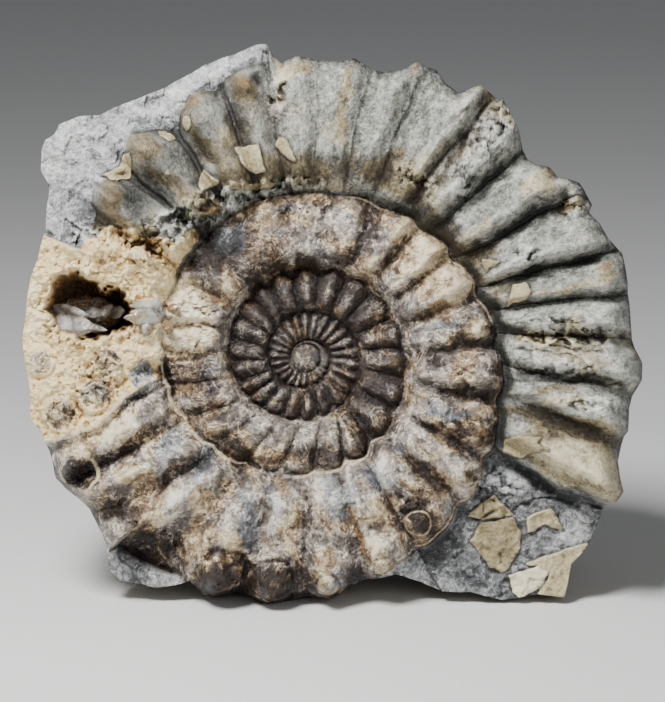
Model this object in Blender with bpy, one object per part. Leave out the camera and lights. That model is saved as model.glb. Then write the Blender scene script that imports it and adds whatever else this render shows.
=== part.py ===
"""A fossil ammonite in its matrix, in metres, +Z up.

The stone leans back a little and rests on a flat spot under it, with its face towards -Y. Shapes are worked out in
the face's own frame, in millimetres from the middle of the coil: u to the right, v up the face, w out of it. Angles
are in degrees, anticlockwise from the right as the face is seen. The coil's own angle runs on inwards, by a turn for
each whorl, so a larger angle is an older part of the shell.
"""

import math

import bmesh
import bpy
import numpy as np
from mathutils import Matrix, Vector

MM = 0.001
LEAN = math.radians(11.0)  # how far the face leans back
FLOOR_V = -78.2  # where the floor meets the coil's middle plane
CENTRE_X = 8.3  # the middle of the whole stone, from the middle of the coil
CENTRE_Y = 20.4
BACK_W = -41.0  # the back, behind the middle of the coil
BACK_SLOPE = 0.085  # the stone is thicker at its foot
BACK_INSET = 1.2  # how far the back's outline stays inside the face's
GRID_TURN = 320  # points round the stone before it is simplified
GRID_RINGS = 176
FACETS = 8400  # triangles that are kept
FIRST_ANGLE = -60.0  # the coil's outermost seam starts here
SHELL_END = -27.0  # under the last rib, where the shell is broken off

# The stone's outline: angle, radius.
OUTLINE = (
    (-60, 87.7), (-55, 92.9), (-51, 101.3), (-47, 105.5), (-45.5, 107.7), (-42.9, 114.2), (-40, 111.0),
    (-38, 109.0), (-34, 109.7), (-28, 108.4), (-26.5, 108.1), (-25, 110.3), (-23, 111.0), (-21, 108.4),
    (-18.5, 106.1), (-14, 105.7), (-13, 106.5), (-9, 105.5), (-7, 106.1), (-4, 108.4), (-1, 108.4),
    (1.5, 106.1), (3, 105.5), (6, 105.2), (10, 105.8), (14, 106.5), (18.2, 107.4), (21.5, 104.5),
    (24.5, 103.9), (27, 102.4), (28, 104.5), (31, 104.8), (32.5, 104.5), (34.5, 101.6), (35.5, 99.7),
    (38, 99.4), (40, 96.5), (42, 95.8), (44, 97.1), (47, 100.3), (50, 102.3), (52.5, 104.5), (54, 103.6),
    (57.3, 104.2), (59, 100.3), (60, 98.1), (63, 99.0), (65.5, 101.6), (69.5, 101.3), (71.5, 97.4),
    (75, 95.2), (77, 95.2), (80.8, 97.6), (83, 96.1), (87.5, 95.8), (91.7, 97.1), (94.7, 95.2), (96, 97.1),
    (97.3, 102.3), (98.6, 102.6), (103, 100.8), (109, 100.3), (112, 99.2), (118, 98.7), (123, 100.0),
    (128.3, 102.4), (130.5, 103.2), (133.3, 107.3), (136.7, 110.0), (138.5, 109.0), (140.3, 110.0),
    (142, 108.9), (145, 105.2), (146, 101.0), (147.2, 99.2), (150, 97.1), (154.4, 93.6), (160, 92.3),
    (164, 92.6), (172, 91.6), (177, 91.9), (183, 90.3), (187, 89.7), (192.8, 91.3), (196, 88.7), (202, 88.7),
    (206, 90.0), (208.3, 89.0), (212, 86.5), (215, 85.8), (221, 87.3), (223.5, 89.0), (227.5, 94.2),
    (230.5, 94.2), (233.9, 91.0), (236.7, 89.4), (240, 85.5), (242.5, 81.9), (247, 83.9), (249, 83.6),
    (253, 80.3), (255, 79.2), (258.5, 80.7), (261, 81.3), (265, 79.7), (268, 78.7), (272, 77.7), (276, 78.7),
    (280, 76.1), (285, 74.5), (289, 75.5), (292.3, 76.0), (294, 77.7), (297, 81.9),
)
# The outer whorl's edge, where it ends inside the outline against the matrix: angle, radius.
SHELL_EDGE = (
    (94, 112), (97, 96), (102, 94), (112, 94), (120, 93), (127, 92.5), (133, 90), (141, 88), (148, 86),
    (156, 112), (222, 112), (225, 86), (232, 84), (240, 83), (243, 112), (276, 112), (284, 75.5), (292, 73.6),
    (300, 71.6), (300.2, 112),
)
# The spiral line where each whorl meets the next: coil angle, radius.
SEAM = (
    (-60, 71.6), (-45, 69.7), (-30, 66.5), (-15, 63.9), (0, 62.3), (18, 59.4), (45, 56.1), (75, 53.7),
    (108, 52.7), (128, 50.5), (150, 48.7), (168, 46.4), (195, 44.8), (225, 41.0), (240, 39.0), (270, 37.1),
    (300, 35.6), (334, 33.2), (360, 31.8), (390, 30.4), (420, 29.8), (480, 27.4), (540, 25.0), (600, 21.2),
    (660, 19.2), (720, 16.8), (780, 15.3), (840, 14.2), (900, 12.1), (960, 10.6), (1020, 8.7), (1080, 7.0),
    (1140, 5.6), (1200, 4.8), (1380, 4.5), (1800, 4.0),
)
SEAM_HEIGHT = ((-60, 11.0), (0, 10.5), (180, 8.5), (360, 5.5), (540, 4.4), (720, 3.2), (900, 2.4), (1080, 1.6))
FLANK_HEIGHT = (
    (-400, 21.0), (-300, 22.0), (-180, 20.0), (-60, 18.0), (0, 16.5), (180, 13.5), (360, 9.5), (540, 8.0),
    (720, 5.6), (900, 4.4), (1080, 3.4), (1400, 2.6),
)
# The outer whorl's height where it turns over to the stone's side: angle, height.
EDGE_HEIGHT = ((-60, 12), (0, 13), (60, 14), (90, 13), (110, 10), (150, 9), (175, 10), (200, 9), (225, 8), (270, 7))
TURNS = 5
CORE_RADIUS = 4.5
CORE_HEIGHT = 4.6

# Ribs: angle and strength, on the outer whorl and the next one in.
OUTER_RIBS = (
    (-21.5, 1.2), (-10.5, 0.9), (-1.5, 1.0), (8, 0.8), (15, 0.9), (23.5, 1.0), (36, 1.1), (49, 1.0),
    (58.5, 0.9), (72, 0.7), (81, 0.6), (92, 0.7), (102, 0.9), (112.5, 1.0), (127, 1.3), (141, 1.3),
    (153, 0.5), (165, 0.0), (177, 0.0), (189, 0.0), (203.5, 1.0), (214, 1.1), (228, 1.2), (246.5, 0.9),
    (261, 0.8), (275.5, 0.9), (290, 0.9),
)
SECOND_RIBS = (
    (-56, 0.9), (-39, 1.0), (-25, 1.0), (-7, 1.0), (8.5, 1.0), (24.5, 1.0), (38, 1.0), (52.5, 1.0), (70, 0.9),
    (87, 0.7), (105, 0.6), (125, 0.5), (140, 0.7), (160, 1.1), (173, 0.8), (189, 0.8), (205, 1.0), (222, 1.0),
    (239, 1.0), (255, 1.0), (272, 1.0), (290, 1.0),
)
# The third whorl's ribs are alike, and the fourth's are evenly spaced.
THIRD_RIBS = (-57, -43, -23, -3, 14, 34, 53, 71, 90, 108, 125, 141, 156, 175, 191, 207, 219, 236, 253, 270, 287)
FOURTH_RIBS_FROM = 668.0
FOURTH_RIB_STEP = 14.4
FOURTH_RIBS = 28
RIB_HEIGHT = ((-400, 3.6), (-60, 3.2), (0, 2.9), (290, 2.4), (330, 1.8), (640, 1.5), (700, 1.0), (1080, 0.4))
# How far each rib's outer end stands on from its inner end: coil angle, degrees.
RIB_SLANT = (
    (-400, -5), (-300, -2), (-235, 3), (-170, 4), (-157, 6), (-146, -8), (-132, -14), (-110, -2), (0, 0),
    (120, 4), (160, 8), (175, 2), (205, -8), (290, -8), (320, 0),
)
# How far a rib's end pushes the next whorl's seam out: coil angle, millimetres.
SEAM_WAVE = ((-60, 0.8), (120, 0.5), (190, 1.8), (300, 1.8), (330, 0.9), (660, 0.6), (720, 0.3))

# Lumps on the face, most of them broken spines: angle, radius, half width, height, depth of the broken top.
LUMPS = (
    (248.0, 75.5, 7.5, 5.0, 1.5),
    (261.5, 75.5, 6.0, 4.0, 1.0),
    (275.5, 74.0, 3.8, 3.5, 0.0),
    (290.5, 72.5, 3.6, 3.5, 0.0),
    (304.0, 64.5, 5.0, 3.0, 0.8),
    (206.0, 81.0, 7.0, 4.5, 2.5),
    (181.0, 85.5, 5.5, 2.0, 1.5),
    (193.5, 81.5, 6.0, 2.5, 1.8),
    (190.5, 68.5, 5.5, 2.2, 1.6),
    (103.0, 90.5, 5.0, 3.0, 0.0),
    (112.0, 91.0, 5.0, 3.0, 0.0),
    (127.0, 87.0, 6.5, 3.5, 0.0),
    (141.0, 83.0, 7.0, 3.0, 0.0),
    (68.5, 100.0, 4.5, 2.5, 0.0),
    (31.0, 101.5, 4.0, 3.5, 0.0),
    (-30.5, 81.5, 6.5, 3.5, 0.0),
    (165.6, 54.8, 4.2, 3.2, 0.0),
)
# Dents: u, v, half length, half width, turn, depth.
DENTS = (
    (-48.0, -61.5, 15.0, 7.5, -32.0, 8.0),
    (-50.0, -4.2, 5.0, 3.0, 0.0, 5.0),
    (75.0, -39.5, 13.0, 2.8, -32.0, 5.0),
)
CRACK = ((54.2, -52.3), (65.5, -49.0), (76.5, -45.2), (82.6, -46.1), (95.2, -48.4))
CRACK_DEPTH = 2.2
CRACK_HALF_WIDTH = 1.6
MATRIX_HEIGHT = 7.0
LOWER_MATRIX_HEIGHT = 9.0

# The cream crust stands proud of the ribs below it. Its lower edge: radius, angle.
CRUST_EDGE = ((46, 188), (54.8, 190), (60.3, 193), (70.3, 197.8), (84.5, 197.8), (95, 199))
CRUST_TOP = 154.0  # the angle where it fades into the matrix
CRUST_HEIGHT = 17.0
CRUST_FALL = 6.0  # how much lower it is at the outline
CRUST_FALL_FROM = 76.0

# The vug, an open hollow in the crust: its mouth, as u, v.
VUG_MOUTH = (
    (-81.9, 23.5), (-78.7, 26.1), (-73.6, 27.4), (-70.3, 25.5), (-66.5, 22.6), (-60.6, 22.6), (-58.7, 20.0),
    (-55.2, 15.8), (-57.4, 12.9), (-56.1, 10.0), (-60.3, 7.7), (-65.2, 6.5), (-68.1, 5.2), (-73.6, 6.5),
    (-80.0, 7.4), (-82.6, 13.5), (-84.5, 15.5), (-83.9, 19.0),
)
VUG_FLOOR = -8.0
VUG_WALL = 4.2  # how far in from the mouth the floor begins

# The crystals grow on a bed on the vug's floor: its middle and half sizes.
BED_AT = (-71.0, 14.8, -3.8)
BED_SIZE = (8.0, 4.2, 1.9)
# Each crystal: where it grows, its tip, its radius and how flat it is.
CRYSTALS = (
    ((-75.5, 13.5, -3.8), (-68.3, 12.0, 9.5), 2.7, 0.6),
    ((-71.0, 15.5, -3.8), (-65.0, 13.8, 7.5), 2.5, 0.7),
    ((-68.0, 16.5, -3.8), (-61.8, 15.8, 5.0), 2.0, 0.9),
    ((-75.5, 16.0, -3.8), (-78.6, 17.2, 5.0), 1.7, 0.9),
    ((-72.0, 17.0, -3.8), (-73.6, 19.6, 3.0), 1.8, 1.0),
    ((-66.0, 13.5, -3.8), (-63.6, 11.4, 4.0), 1.7, 1.0),
    ((-76.0, 14.0, -3.8), (-77.4, 11.6, 5.5), 1.8, 0.8),
)
CRYSTAL_SIDES = 6
CRYSTAL_SHOULDER = 0.62  # how far up a crystal its tip begins

STONE_COLOUR = (0.30, 0.27, 0.23, 1.0)
CRYSTAL_COLOUR = (0.83, 0.81, 0.77, 1.0)


def eased_step(low, high, x):
    t = np.clip((x - low) / (high - low), 0.0, 1.0)
    return t * t * (3.0 - 2.0 * t)


def run_through(points, x):
    """The straight runs through these points, held at both ends."""
    xs, ys = zip(*points)
    return np.interp(x, xs, ys)


def run_round(points, angle):
    """The straight runs through points that go all round the face."""
    xs, ys = zip(*points)
    return np.interp(angle, xs, ys, period=360.0)


def smooth_run(points, x, span):
    return np.mean([run_through(points, x + span * step) for step in (-1, -0.5, 0, 0.5, 1)], axis=0)


def noise(points, size, seed):
    """Smooth noise between -1 and 1 on a lattice of this size."""
    place = points / size
    cell = np.floor(place).astype(np.int64)
    ease = place - cell
    ease = ease * ease * (3.0 - 2.0 * ease)
    total = np.zeros(len(points))
    for corner in np.ndindex(2, 2, 2):
        key = (cell + corner) @ np.array((73856093, 19349663, 83492791)) + seed * 15485863
        key = (key ^ (key >> 13)) * 1274126177
        value = ((key ^ (key >> 16)) & 0xFFFF) / 32767.5 - 1.0
        total += value * np.prod(np.where(corner, ease, 1.0 - ease), axis=1)
    return total


def distance_to_line(path, u, v):
    """How far each point is from a run of straight lines."""
    nearest = np.full(u.shape, np.inf)
    for (u0, v0), (u1, v1) in zip(path, path[1:]):
        du, dv = u1 - u0, v1 - v0
        t = np.clip(((u - u0) * du + (v - v0) * dv) / (du * du + dv * dv), 0.0, 1.0)
        nearest = np.minimum(nearest, np.hypot(u - u0 - t * du, v - v0 - t * dv))
    return nearest


def depth_inside(outline, u, v):
    """How far each point is inside a closed outline, and 0 outside it."""
    closed = outline + outline[:1]
    inside = np.zeros(u.shape, bool)
    for (u0, v0), (u1, v1) in zip(closed, closed[1:]):
        if v0 != v1:
            crosses = (v0 > v) != (v1 > v)
            inside ^= crosses & (u < u0 + (v - v0) * (u1 - u0) / (v1 - v0))
    return np.where(inside, distance_to_line(closed, u, v), 0.0)


def all_ribs():
    """Every rib's coil angle and strength, from the shell's end inwards."""
    ribs = [(angle - 360.0, strength) for angle, strength in OUTER_RIBS]
    ribs += SECOND_RIBS
    ribs += [(angle + 360.0, 1.0) for angle in THIRD_RIBS]
    ribs += [(FOURTH_RIBS_FROM + FOURTH_RIB_STEP * step, 1.0) for step in range(FOURTH_RIBS)]
    return ribs


def ridge(coil_angle, across):
    """1 on each rib's crest and 0 in the hollow between two, and the rib's strength."""
    angles, strengths = zip(*all_ribs())
    on_rib = coil_angle - run_through(RIB_SLANT, coil_angle) * (across - 0.5)
    turns = np.interp(on_rib, angles, np.arange(len(angles)))
    return (0.5 + 0.5 * np.cos(2.0 * math.pi * turns)) ** 1.3, np.interp(on_rib, angles, strengths)


def seam(coil_angle):
    """The radius of the line where a whorl meets the next one out, which each rib's end pushes outwards."""
    crest, strength = ridge(coil_angle, 1.0)
    return smooth_run(SEAM, coil_angle, 10.0) + run_through(SEAM_WAVE, coil_angle) * strength * (crest - 0.4)


def coil_place(angle, radius):
    """Each point's whorl (0 is the outer one), coil angle and place across the whorl, from 0 inside to 1 outside."""
    outer_edge = np.minimum(run_round(OUTLINE, angle), run_round(SHELL_EDGE, angle))
    edges = [outer_edge] + [seam(angle + 360.0 * turn) for turn in range(TURNS)] + [np.zeros(angle.shape)]
    whorl = sum((radius < edge).astype(int) for edge in edges[1:-1])
    outside = np.choose(whorl, edges[:-1])
    inside = np.choose(whorl, edges[1:])
    return whorl, angle + 360.0 * (whorl - 1), (radius - inside) / (outside - inside)


def coil_height(angle, radius):
    """The shell's flank, whorl by whorl, with its ribs."""
    whorl, coil_angle, across = coil_place(angle, radius)
    flank = run_through(FLANK_HEIGHT, coil_angle)
    low_inside = run_through(SEAM_HEIGHT, coil_angle + 360.0)
    low_outside = np.where(whorl == 0, run_round(EDGE_HEIGHT, angle), run_through(SEAM_HEIGHT, coil_angle))
    t = np.clip(across, 0.0, 1.0)
    rise = 1.0 - (1.0 - np.clip(t / 0.34, 0.0, 1.0)) ** 2.4
    turn_over = np.where(whorl == 0, 0.78, 0.66)
    fall = np.clip((t - turn_over) / (1.0 - turn_over), 0.0, 1.0) ** 2.2
    height = flank - (flank - low_inside) * (1.0 - rise) - (flank - low_outside) * fall
    crest, strength = ridge(coil_angle, t)
    window = eased_step(0.02, 0.24, t) * (1.0 - np.where(whorl == 0, 0.25, 0.75) * eased_step(0.88, 1.0, t))
    knob = 0.5 * crest**2 * np.exp(-(((t - 0.82) / 0.12) ** 2))
    height += run_through(RIB_HEIGHT, coil_angle) * strength * window * (crest - 0.45 + knob)
    core = CORE_HEIGHT * np.sqrt(np.clip(1.0 - 0.7 * (radius / CORE_RADIUS) ** 2, 0.0, 1.0))
    return np.where(radius < CORE_RADIUS, core, height)


def add_matrix(height, angle, radius, u, v, rough):
    """The matrix outside the shell: at the upper left, at the lower left tip and under the last rib."""
    past_shell = eased_step(-0.5, 2.5, radius - run_round(SHELL_EDGE, angle))
    height += (MATRIX_HEIGHT + 0.8 * rough - height) * past_shell
    broken_off = (1.0 - eased_step(SHELL_END - 1.4, SHELL_END + 0.2, angle)) * eased_step(-0.5, 1.5, radius - seam(angle))
    height += (LOWER_MATRIX_HEIGHT + 0.8 * rough - height) * broken_off
    return height - CRACK_DEPTH * np.exp(-((distance_to_line(CRACK, u, v) / CRACK_HALF_WIDTH) ** 2))


def add_crust(height, angle, radius, rough):
    low_edge = run_through(CRUST_EDGE, radius)
    covered = eased_step(CRUST_TOP - 5.0, CRUST_TOP + 5.0, angle) * (1.0 - eased_step(low_edge - 0.4, low_edge + 1.0, angle))
    covered *= eased_step(-1.0, 3.0, radius - seam(angle))
    top = CRUST_HEIGHT + 1.2 * rough - CRUST_FALL * eased_step(CRUST_FALL_FROM, CRUST_FALL_FROM + 16.0, radius)
    return height + (top - height) * covered


def add_lumps(height, u, v):
    for angle, radius, half_width, lump, broken in LUMPS:
        at_u = radius * math.cos(math.radians(angle))
        at_v = radius * math.sin(math.radians(angle))
        off = np.hypot(u - at_u, v - at_v) / half_width
        height = height + lump * np.clip(1.0 - off**2, 0.0, 1.0) ** 1.5 - broken * np.exp(-((off / 0.45) ** 2))
    return height


def add_dents(height, u, v):
    for at_u, at_v, half_length, half_width, turn, depth in DENTS:
        c, s = math.cos(math.radians(turn)), math.sin(math.radians(turn))
        x = ((u - at_u) * c + (v - at_v) * s) / half_length
        y = ((v - at_v) * c - (u - at_u) * s) / half_width
        height = height - depth * np.exp(-(x * x + y * y) ** 1.5)
    return height


def face_height(angle, radius):
    """How far the front stands out, at each angle and radius."""
    u = radius * np.cos(np.radians(angle))
    v = radius * np.sin(np.radians(angle))
    flat = np.stack((u, v, np.zeros(u.shape)), axis=1)
    rough = noise(flat, 11.0, 1) + 0.5 * noise(flat, 5.0, 2)
    height = coil_height(angle, radius)
    height = add_matrix(height, angle, radius, u, v, rough)
    height = add_crust(height, angle, radius, rough)
    height = add_lumps(height, u, v)
    height = add_dents(height, u, v)
    return height + (VUG_FLOOR - height) * eased_step(0.0, VUG_WALL, depth_inside(VUG_MOUTH, u, v))


def back_outline(angle):
    """A plainer outline behind the ribs' ends, which nowhere passes the face's own."""
    tightest = [
        np.min([run_round(OUTLINE, angle + middle + turn) for turn in (-5, -2.5, 0, 2.5, 5)], axis=0)
        for middle in (-3, 0, 3)
    ]
    return np.mean(tightest, axis=0) - BACK_INSET


# The stone's side and back, from the face's edge to the middle of the back: the part of the way, the radius as
# a share of the outline's, and the depth as a share of the whole.
SIDE_AND_BACK = (
    (0.0, 1.0, 0.0), (0.14, 1.0, 0.25), (0.28, 0.995, 0.6), (0.38, 0.965, 0.86), (0.48, 0.88, 0.96),
    (0.7, 0.5, 1.0), (1.0, 0.0, 1.0),
)


def stone_surface(sphere):
    """Moves the points of a ball, whose front pole is at +Z, onto the stone in the face's frame."""
    angle = np.degrees(np.arctan2(sphere[:, 1], sphere[:, 0]))
    angle = FIRST_ANGLE + np.mod(angle - FIRST_ANGLE, 360.0)
    way = np.arccos(np.clip(sphere[:, 2], -1.0, 1.0)) / (0.5 * math.pi)
    edge = run_round(OUTLINE, angle)
    front_radius = np.minimum(way, 1.0) * edge
    front = face_height(angle, front_radius)
    behind = np.clip(way - 1.0, 0.0, 1.0)
    share = run_through([row[:2] for row in SIDE_AND_BACK], behind)
    depth = run_through([(row[0], row[2]) for row in SIDE_AND_BACK], behind)
    outline = edge + (back_outline(angle) - edge) * eased_step(0.05, 0.85, depth)
    radius = np.where(way > 1.0, outline * share, front_radius)
    u = radius * np.cos(np.radians(angle))
    v = radius * np.sin(np.radians(angle))
    back = BACK_W + BACK_SLOPE * v
    w = front + (back - front) * depth
    points = np.stack((u, v, w), axis=1)
    rough = (2.2 * noise(points, 24.0, 3) + 1.1 * noise(points, 9.0, 4)) * eased_step(0.02, 0.3, depth)
    points[:, 2] += rough
    points[:, :2] *= (1.0 - 0.012 * np.abs(rough) * (depth < 0.97))[:, None]
    return points


def to_world(point):
    """From the face's frame, in millimetres, to the part's own, in metres."""
    u, v, w = point
    y = (v - FLOOR_V) * math.sin(LEAN) - w * math.cos(LEAN)
    z = (v - FLOOR_V) * math.cos(LEAN) + w * math.sin(LEAN)
    return Vector((u - CENTRE_X, y - CENTRE_Y, z)) * MM


def surface_material(name, colour, roughness):
    material = bpy.data.materials.new(name)
    material.use_nodes = True
    shader = material.node_tree.nodes["Principled BSDF"]
    shader.inputs["Base Color"].default_value = colour
    shader.inputs["Roughness"].default_value = roughness
    return material


def add_object(collection, name, bm, material=None):
    mesh = bpy.data.meshes.new(name)
    bmesh.ops.recalc_face_normals(bm, faces=bm.faces)
    bm.to_mesh(mesh)
    bm.free()
    if material:
        mesh.materials.append(material)
    part = bpy.data.objects.new(name, mesh)
    collection.objects.link(part)
    return part


def make_cutter(collection):
    """A block whose top is the floor."""
    bm = bmesh.new()
    bmesh.ops.create_cube(bm, size=0.4, matrix=Matrix.Translation((0.0, 0.0, -0.2)))
    cutter = add_object(collection, "floor_cutter", bm)
    cutter.hide_render = True
    cutter.display_type = "WIRE"
    return cutter


def make_stone(collection, cutter, material):
    bm = bmesh.new()
    bmesh.ops.create_uvsphere(bm, u_segments=GRID_TURN, v_segments=GRID_RINGS, radius=1.0)
    places = stone_surface(np.array([vertex.co[:] for vertex in bm.verts]))
    for vertex, place in zip(bm.verts, places):
        vertex.co = to_world(place)
    triangles = 2 * GRID_TURN * (GRID_RINGS - 1)
    stone = add_object(collection, "ammonite", bm, material)
    simplify = stone.modifiers.new("simplify", "DECIMATE")
    simplify.ratio = FACETS / triangles
    simplify.use_collapse_triangulate = True
    rest = stone.modifiers.new("flat_spot", "BOOLEAN")
    rest.operation = "DIFFERENCE"
    rest.object = cutter
    return stone


def crystal_mesh(root, tip, radius, flatness):
    """A six-sided crystal with a pointed tip, grown from root to tip, in the part's frame."""
    start, end = to_world(root), to_world(tip)
    length = (end - start).length
    bm = bmesh.new()
    body = length * CRYSTAL_SHOULDER
    bmesh.ops.create_cone(
        bm, segments=CRYSTAL_SIDES, cap_ends=True, radius1=0.8 * radius * MM, radius2=radius * MM, depth=body,
        matrix=Matrix.Translation((0.0, 0.0, body / 2)),
    )
    top = max(bm.faces, key=lambda face: face.calc_center_median().z)
    bmesh.ops.poke(bm, faces=[top])
    max(bm.verts, key=lambda vertex: (round(vertex.co.z, 7), -vertex.co.xy.length)).co.z = length
    bm.transform(Matrix.Diagonal((1.0, flatness, 1.0, 1.0)))
    bm.transform(Matrix.Translation(start) @ (end - start).to_track_quat("Z", "Y").to_matrix().to_4x4())
    return bm


def make_crystals(collection, helpers, material):
    """The bed with every crystal joined to it."""
    bm = bmesh.new()
    bmesh.ops.create_uvsphere(bm, u_segments=14, v_segments=8, radius=1.0)
    for vertex in bm.verts:
        vertex.co = to_world([middle + half * x for middle, half, x in zip(BED_AT, BED_SIZE, vertex.co)])
    crust = add_object(collection, "vug_crystals", bm, material)
    for index, (root, tip, radius, flatness) in enumerate(CRYSTALS, 1):
        crystal = add_object(helpers, f"crystal_{index}", crystal_mesh(root, tip, radius, flatness))
        crystal.hide_render = True
        crystal.display_type = "WIRE"
        grow = crust.modifiers.new(f"crystal_{index}", "BOOLEAN")
        grow.operation = "UNION"
        grow.object = crystal
    return crust


def main():
    for old in list(bpy.data.objects):
        bpy.data.objects.remove(old, do_unlink=True)
    parts = bpy.data.collections.new("fossil_ammonite")
    helpers = bpy.data.collections.new("cutters")
    for collection in (parts, helpers):
        bpy.context.scene.collection.children.link(collection)
    make_stone(parts, make_cutter(helpers), surface_material("stone", STONE_COLOUR, 0.55))
    make_crystals(parts, helpers, surface_material("calcite", CRYSTAL_COLOUR, 0.15))


main()
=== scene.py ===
import math

import bmesh
import bpy
import numpy as np
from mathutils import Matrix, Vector


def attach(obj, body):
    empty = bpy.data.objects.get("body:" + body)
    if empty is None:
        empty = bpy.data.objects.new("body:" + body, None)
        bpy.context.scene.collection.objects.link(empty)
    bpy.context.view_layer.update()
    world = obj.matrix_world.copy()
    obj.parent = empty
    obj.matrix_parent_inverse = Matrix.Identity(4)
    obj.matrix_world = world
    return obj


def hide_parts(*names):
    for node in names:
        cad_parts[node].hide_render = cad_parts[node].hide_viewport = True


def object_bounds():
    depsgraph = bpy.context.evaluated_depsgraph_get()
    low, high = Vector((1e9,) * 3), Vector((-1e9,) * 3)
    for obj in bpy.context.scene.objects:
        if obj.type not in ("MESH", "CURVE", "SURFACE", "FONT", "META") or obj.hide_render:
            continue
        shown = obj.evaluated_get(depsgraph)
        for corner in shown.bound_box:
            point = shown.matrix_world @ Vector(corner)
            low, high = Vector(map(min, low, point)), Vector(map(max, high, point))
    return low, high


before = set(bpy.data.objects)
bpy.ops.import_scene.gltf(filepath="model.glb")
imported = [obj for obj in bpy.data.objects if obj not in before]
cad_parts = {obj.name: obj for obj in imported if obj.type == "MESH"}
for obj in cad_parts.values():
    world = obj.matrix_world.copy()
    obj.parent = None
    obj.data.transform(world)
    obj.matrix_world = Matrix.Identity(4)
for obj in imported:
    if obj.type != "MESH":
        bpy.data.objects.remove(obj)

# The fossil is drawn in its face's own frame, in millimetres from the middle of the coil: u to the right,
# v up the face, w out of it. Angles are in degrees, anticlockwise from the right. The coil's own angle runs
# on inwards.
CAD_BOX = [list(corner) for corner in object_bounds()]
MM = 0.001
LEAN = math.radians(11.0)
FLOOR_V = -78.2
CENTRE_X = 8.3
CENTRE_Y = 20.4
BACK_W = -40.6
BACK_SLOPE = 0.085
BACK_INSET = 1.2
FIRST_ANGLE = -60.0
SHELL_END = -26.2
TURNS = 5
FULL_CELLS = 556  # squares along each side of the face's grid
CELLS = FULL_CELLS
CAP_W = -14.0  # the hidden plane that closes each piece behind
BOX_MARGIN = 0.15  # how far the face stays inside the part's box
BOX_EASE = 1.5  # the depth over which its heights are flattened there

PHOTO_SIZE = (665, 702)
PHOTO_COIL = (306.0, 357.0)  # the middle of the coil in the photograph, in pixels
PHOTO_MM = 0.3226  # millimetres to a pixel
CAMERA_AWAY = 1150.0
CAMERA_FOCUS_W = 13.0

# The stone's outline: angle, radius.
OUTLINE = (
    (-60, 87.7), (-55, 92.9), (-51, 101.3), (-47, 105.5), (-45.5, 107.7), (-42.9, 114.2), (-40, 111),
    (-38, 109), (-34, 109.7), (-28, 108.4), (-26.5, 108.1), (-25, 110.3), (-23, 111), (-21, 108.4),
    (-18.5, 106.1), (-14, 105.7), (-13, 106.5), (-9, 105.5), (-7, 106.1), (-4, 108.4), (-1, 108.4),
    (1.5, 106.1), (3, 105.5), (6, 105.2), (10, 105.8), (14, 106.5), (18.2, 107.4), (21.5, 104.5),
    (24.5, 103.9), (27, 102.4), (28, 104.5), (31, 104.8), (32.5, 104.5), (34.5, 101.6), (35.5, 99.7),
    (38, 99.4), (40, 96.5), (42, 95.8), (44, 97.1), (47, 100.3), (50, 102.3), (52.5, 104.5), (54, 103.6),
    (57.3, 104.2), (59, 100.3), (60, 98.1), (63, 99), (65.5, 101.6), (69.5, 101.3), (71.5, 97.4),
    (75, 95.2), (77, 95.2), (80.8, 97.6), (83, 96.1), (87.5, 95.8), (91.7, 97.1), (94.7, 95.2), (96, 97.1),
    (97.3, 102.3), (98.6, 102.6), (103, 100.8), (109, 100.3), (112, 99.2), (118, 98.7), (123, 100),
    (128.3, 102.4), (130.5, 103.2), (133.3, 107.3), (136.7, 110), (138.5, 109), (140.3, 110), (142, 108.9),
    (145, 105.2), (146, 101), (147.2, 99.2), (150, 97.1), (154.4, 93.6), (160, 92.3), (164, 92.6),
    (172, 91.6), (177, 91.9), (183, 90.3), (187, 89.7), (192.8, 91.3), (196, 88.7), (202, 88.7), (206, 90),
    (208.3, 89), (212, 86.5), (215, 85.8), (221, 87.3), (223.5, 89), (227.5, 94.2), (230.5, 94.2),
    (233.9, 91), (236.7, 89.4), (240, 85.5), (242.5, 81.9), (247, 83.9), (249, 83.6), (253, 80.3),
    (255, 79.2), (258.5, 80.7), (261, 81.3), (265, 79.7), (268, 78.7), (272, 77.7), (276, 78.7),
    (280, 76.1), (285, 74.5), (289, 75.5), (292.3, 76), (294, 77.7), (297, 81.9),
)
# The outer whorl's edge, where it ends inside the outline against the matrix: angle, radius.
SHELL_EDGE = (
    (96.4, 112), (97.2, 96), (102.5, 95), (106, 93.5), (108.7, 90.5), (112.6, 91.5), (117, 88.5),
    (119.6, 83.5), (123, 87.5), (128.7, 91), (131.5, 88), (133.3, 81.5), (136, 84.5), (141.2, 87),
    (144, 85), (145.3, 82), (149, 80), (154.5, 80), (156, 112), (222, 112), (225, 86), (232, 84),
    (240, 81.5), (246, 84.5), (252, 112), (276, 112), (284, 75.5), (292, 73.6), (300, 71.6), (300.2, 112),
)
# The spiral line where each whorl meets the next: coil angle, radius.
SEAM = (
    (-60, 71.6), (-45, 69.7), (-30, 66.5), (-15, 63.9), (0, 62.3), (18, 59.4), (45, 56.1), (75, 53.7),
    (108, 52.7), (128, 50.5), (150, 48.7), (168, 46.4), (195, 44.8), (225, 41), (240, 39), (270, 37.1),
    (300, 35.6), (334, 33.2), (360, 31.8), (390, 30.4), (420, 29.8), (480, 27.4), (540, 25), (600, 21.2),
    (660, 19.2), (720, 16.8), (780, 15.3), (840, 14.2), (900, 12.1), (960, 10.6), (1020, 8.7), (1080, 7),
    (1140, 5.6), (1200, 4.8), (1380, 4.5), (1800, 4),
)
SEAM_HEIGHT = (
    (-60, 12.5), (0, 12), (120, 11), (148, 11), (158, 14), (184, 13.5), (196, 10.5), (300, 9.5),
    (360, 7.2), (540, 5.4), (720, 4), (900, 2.9), (1080, 2),
)
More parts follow.
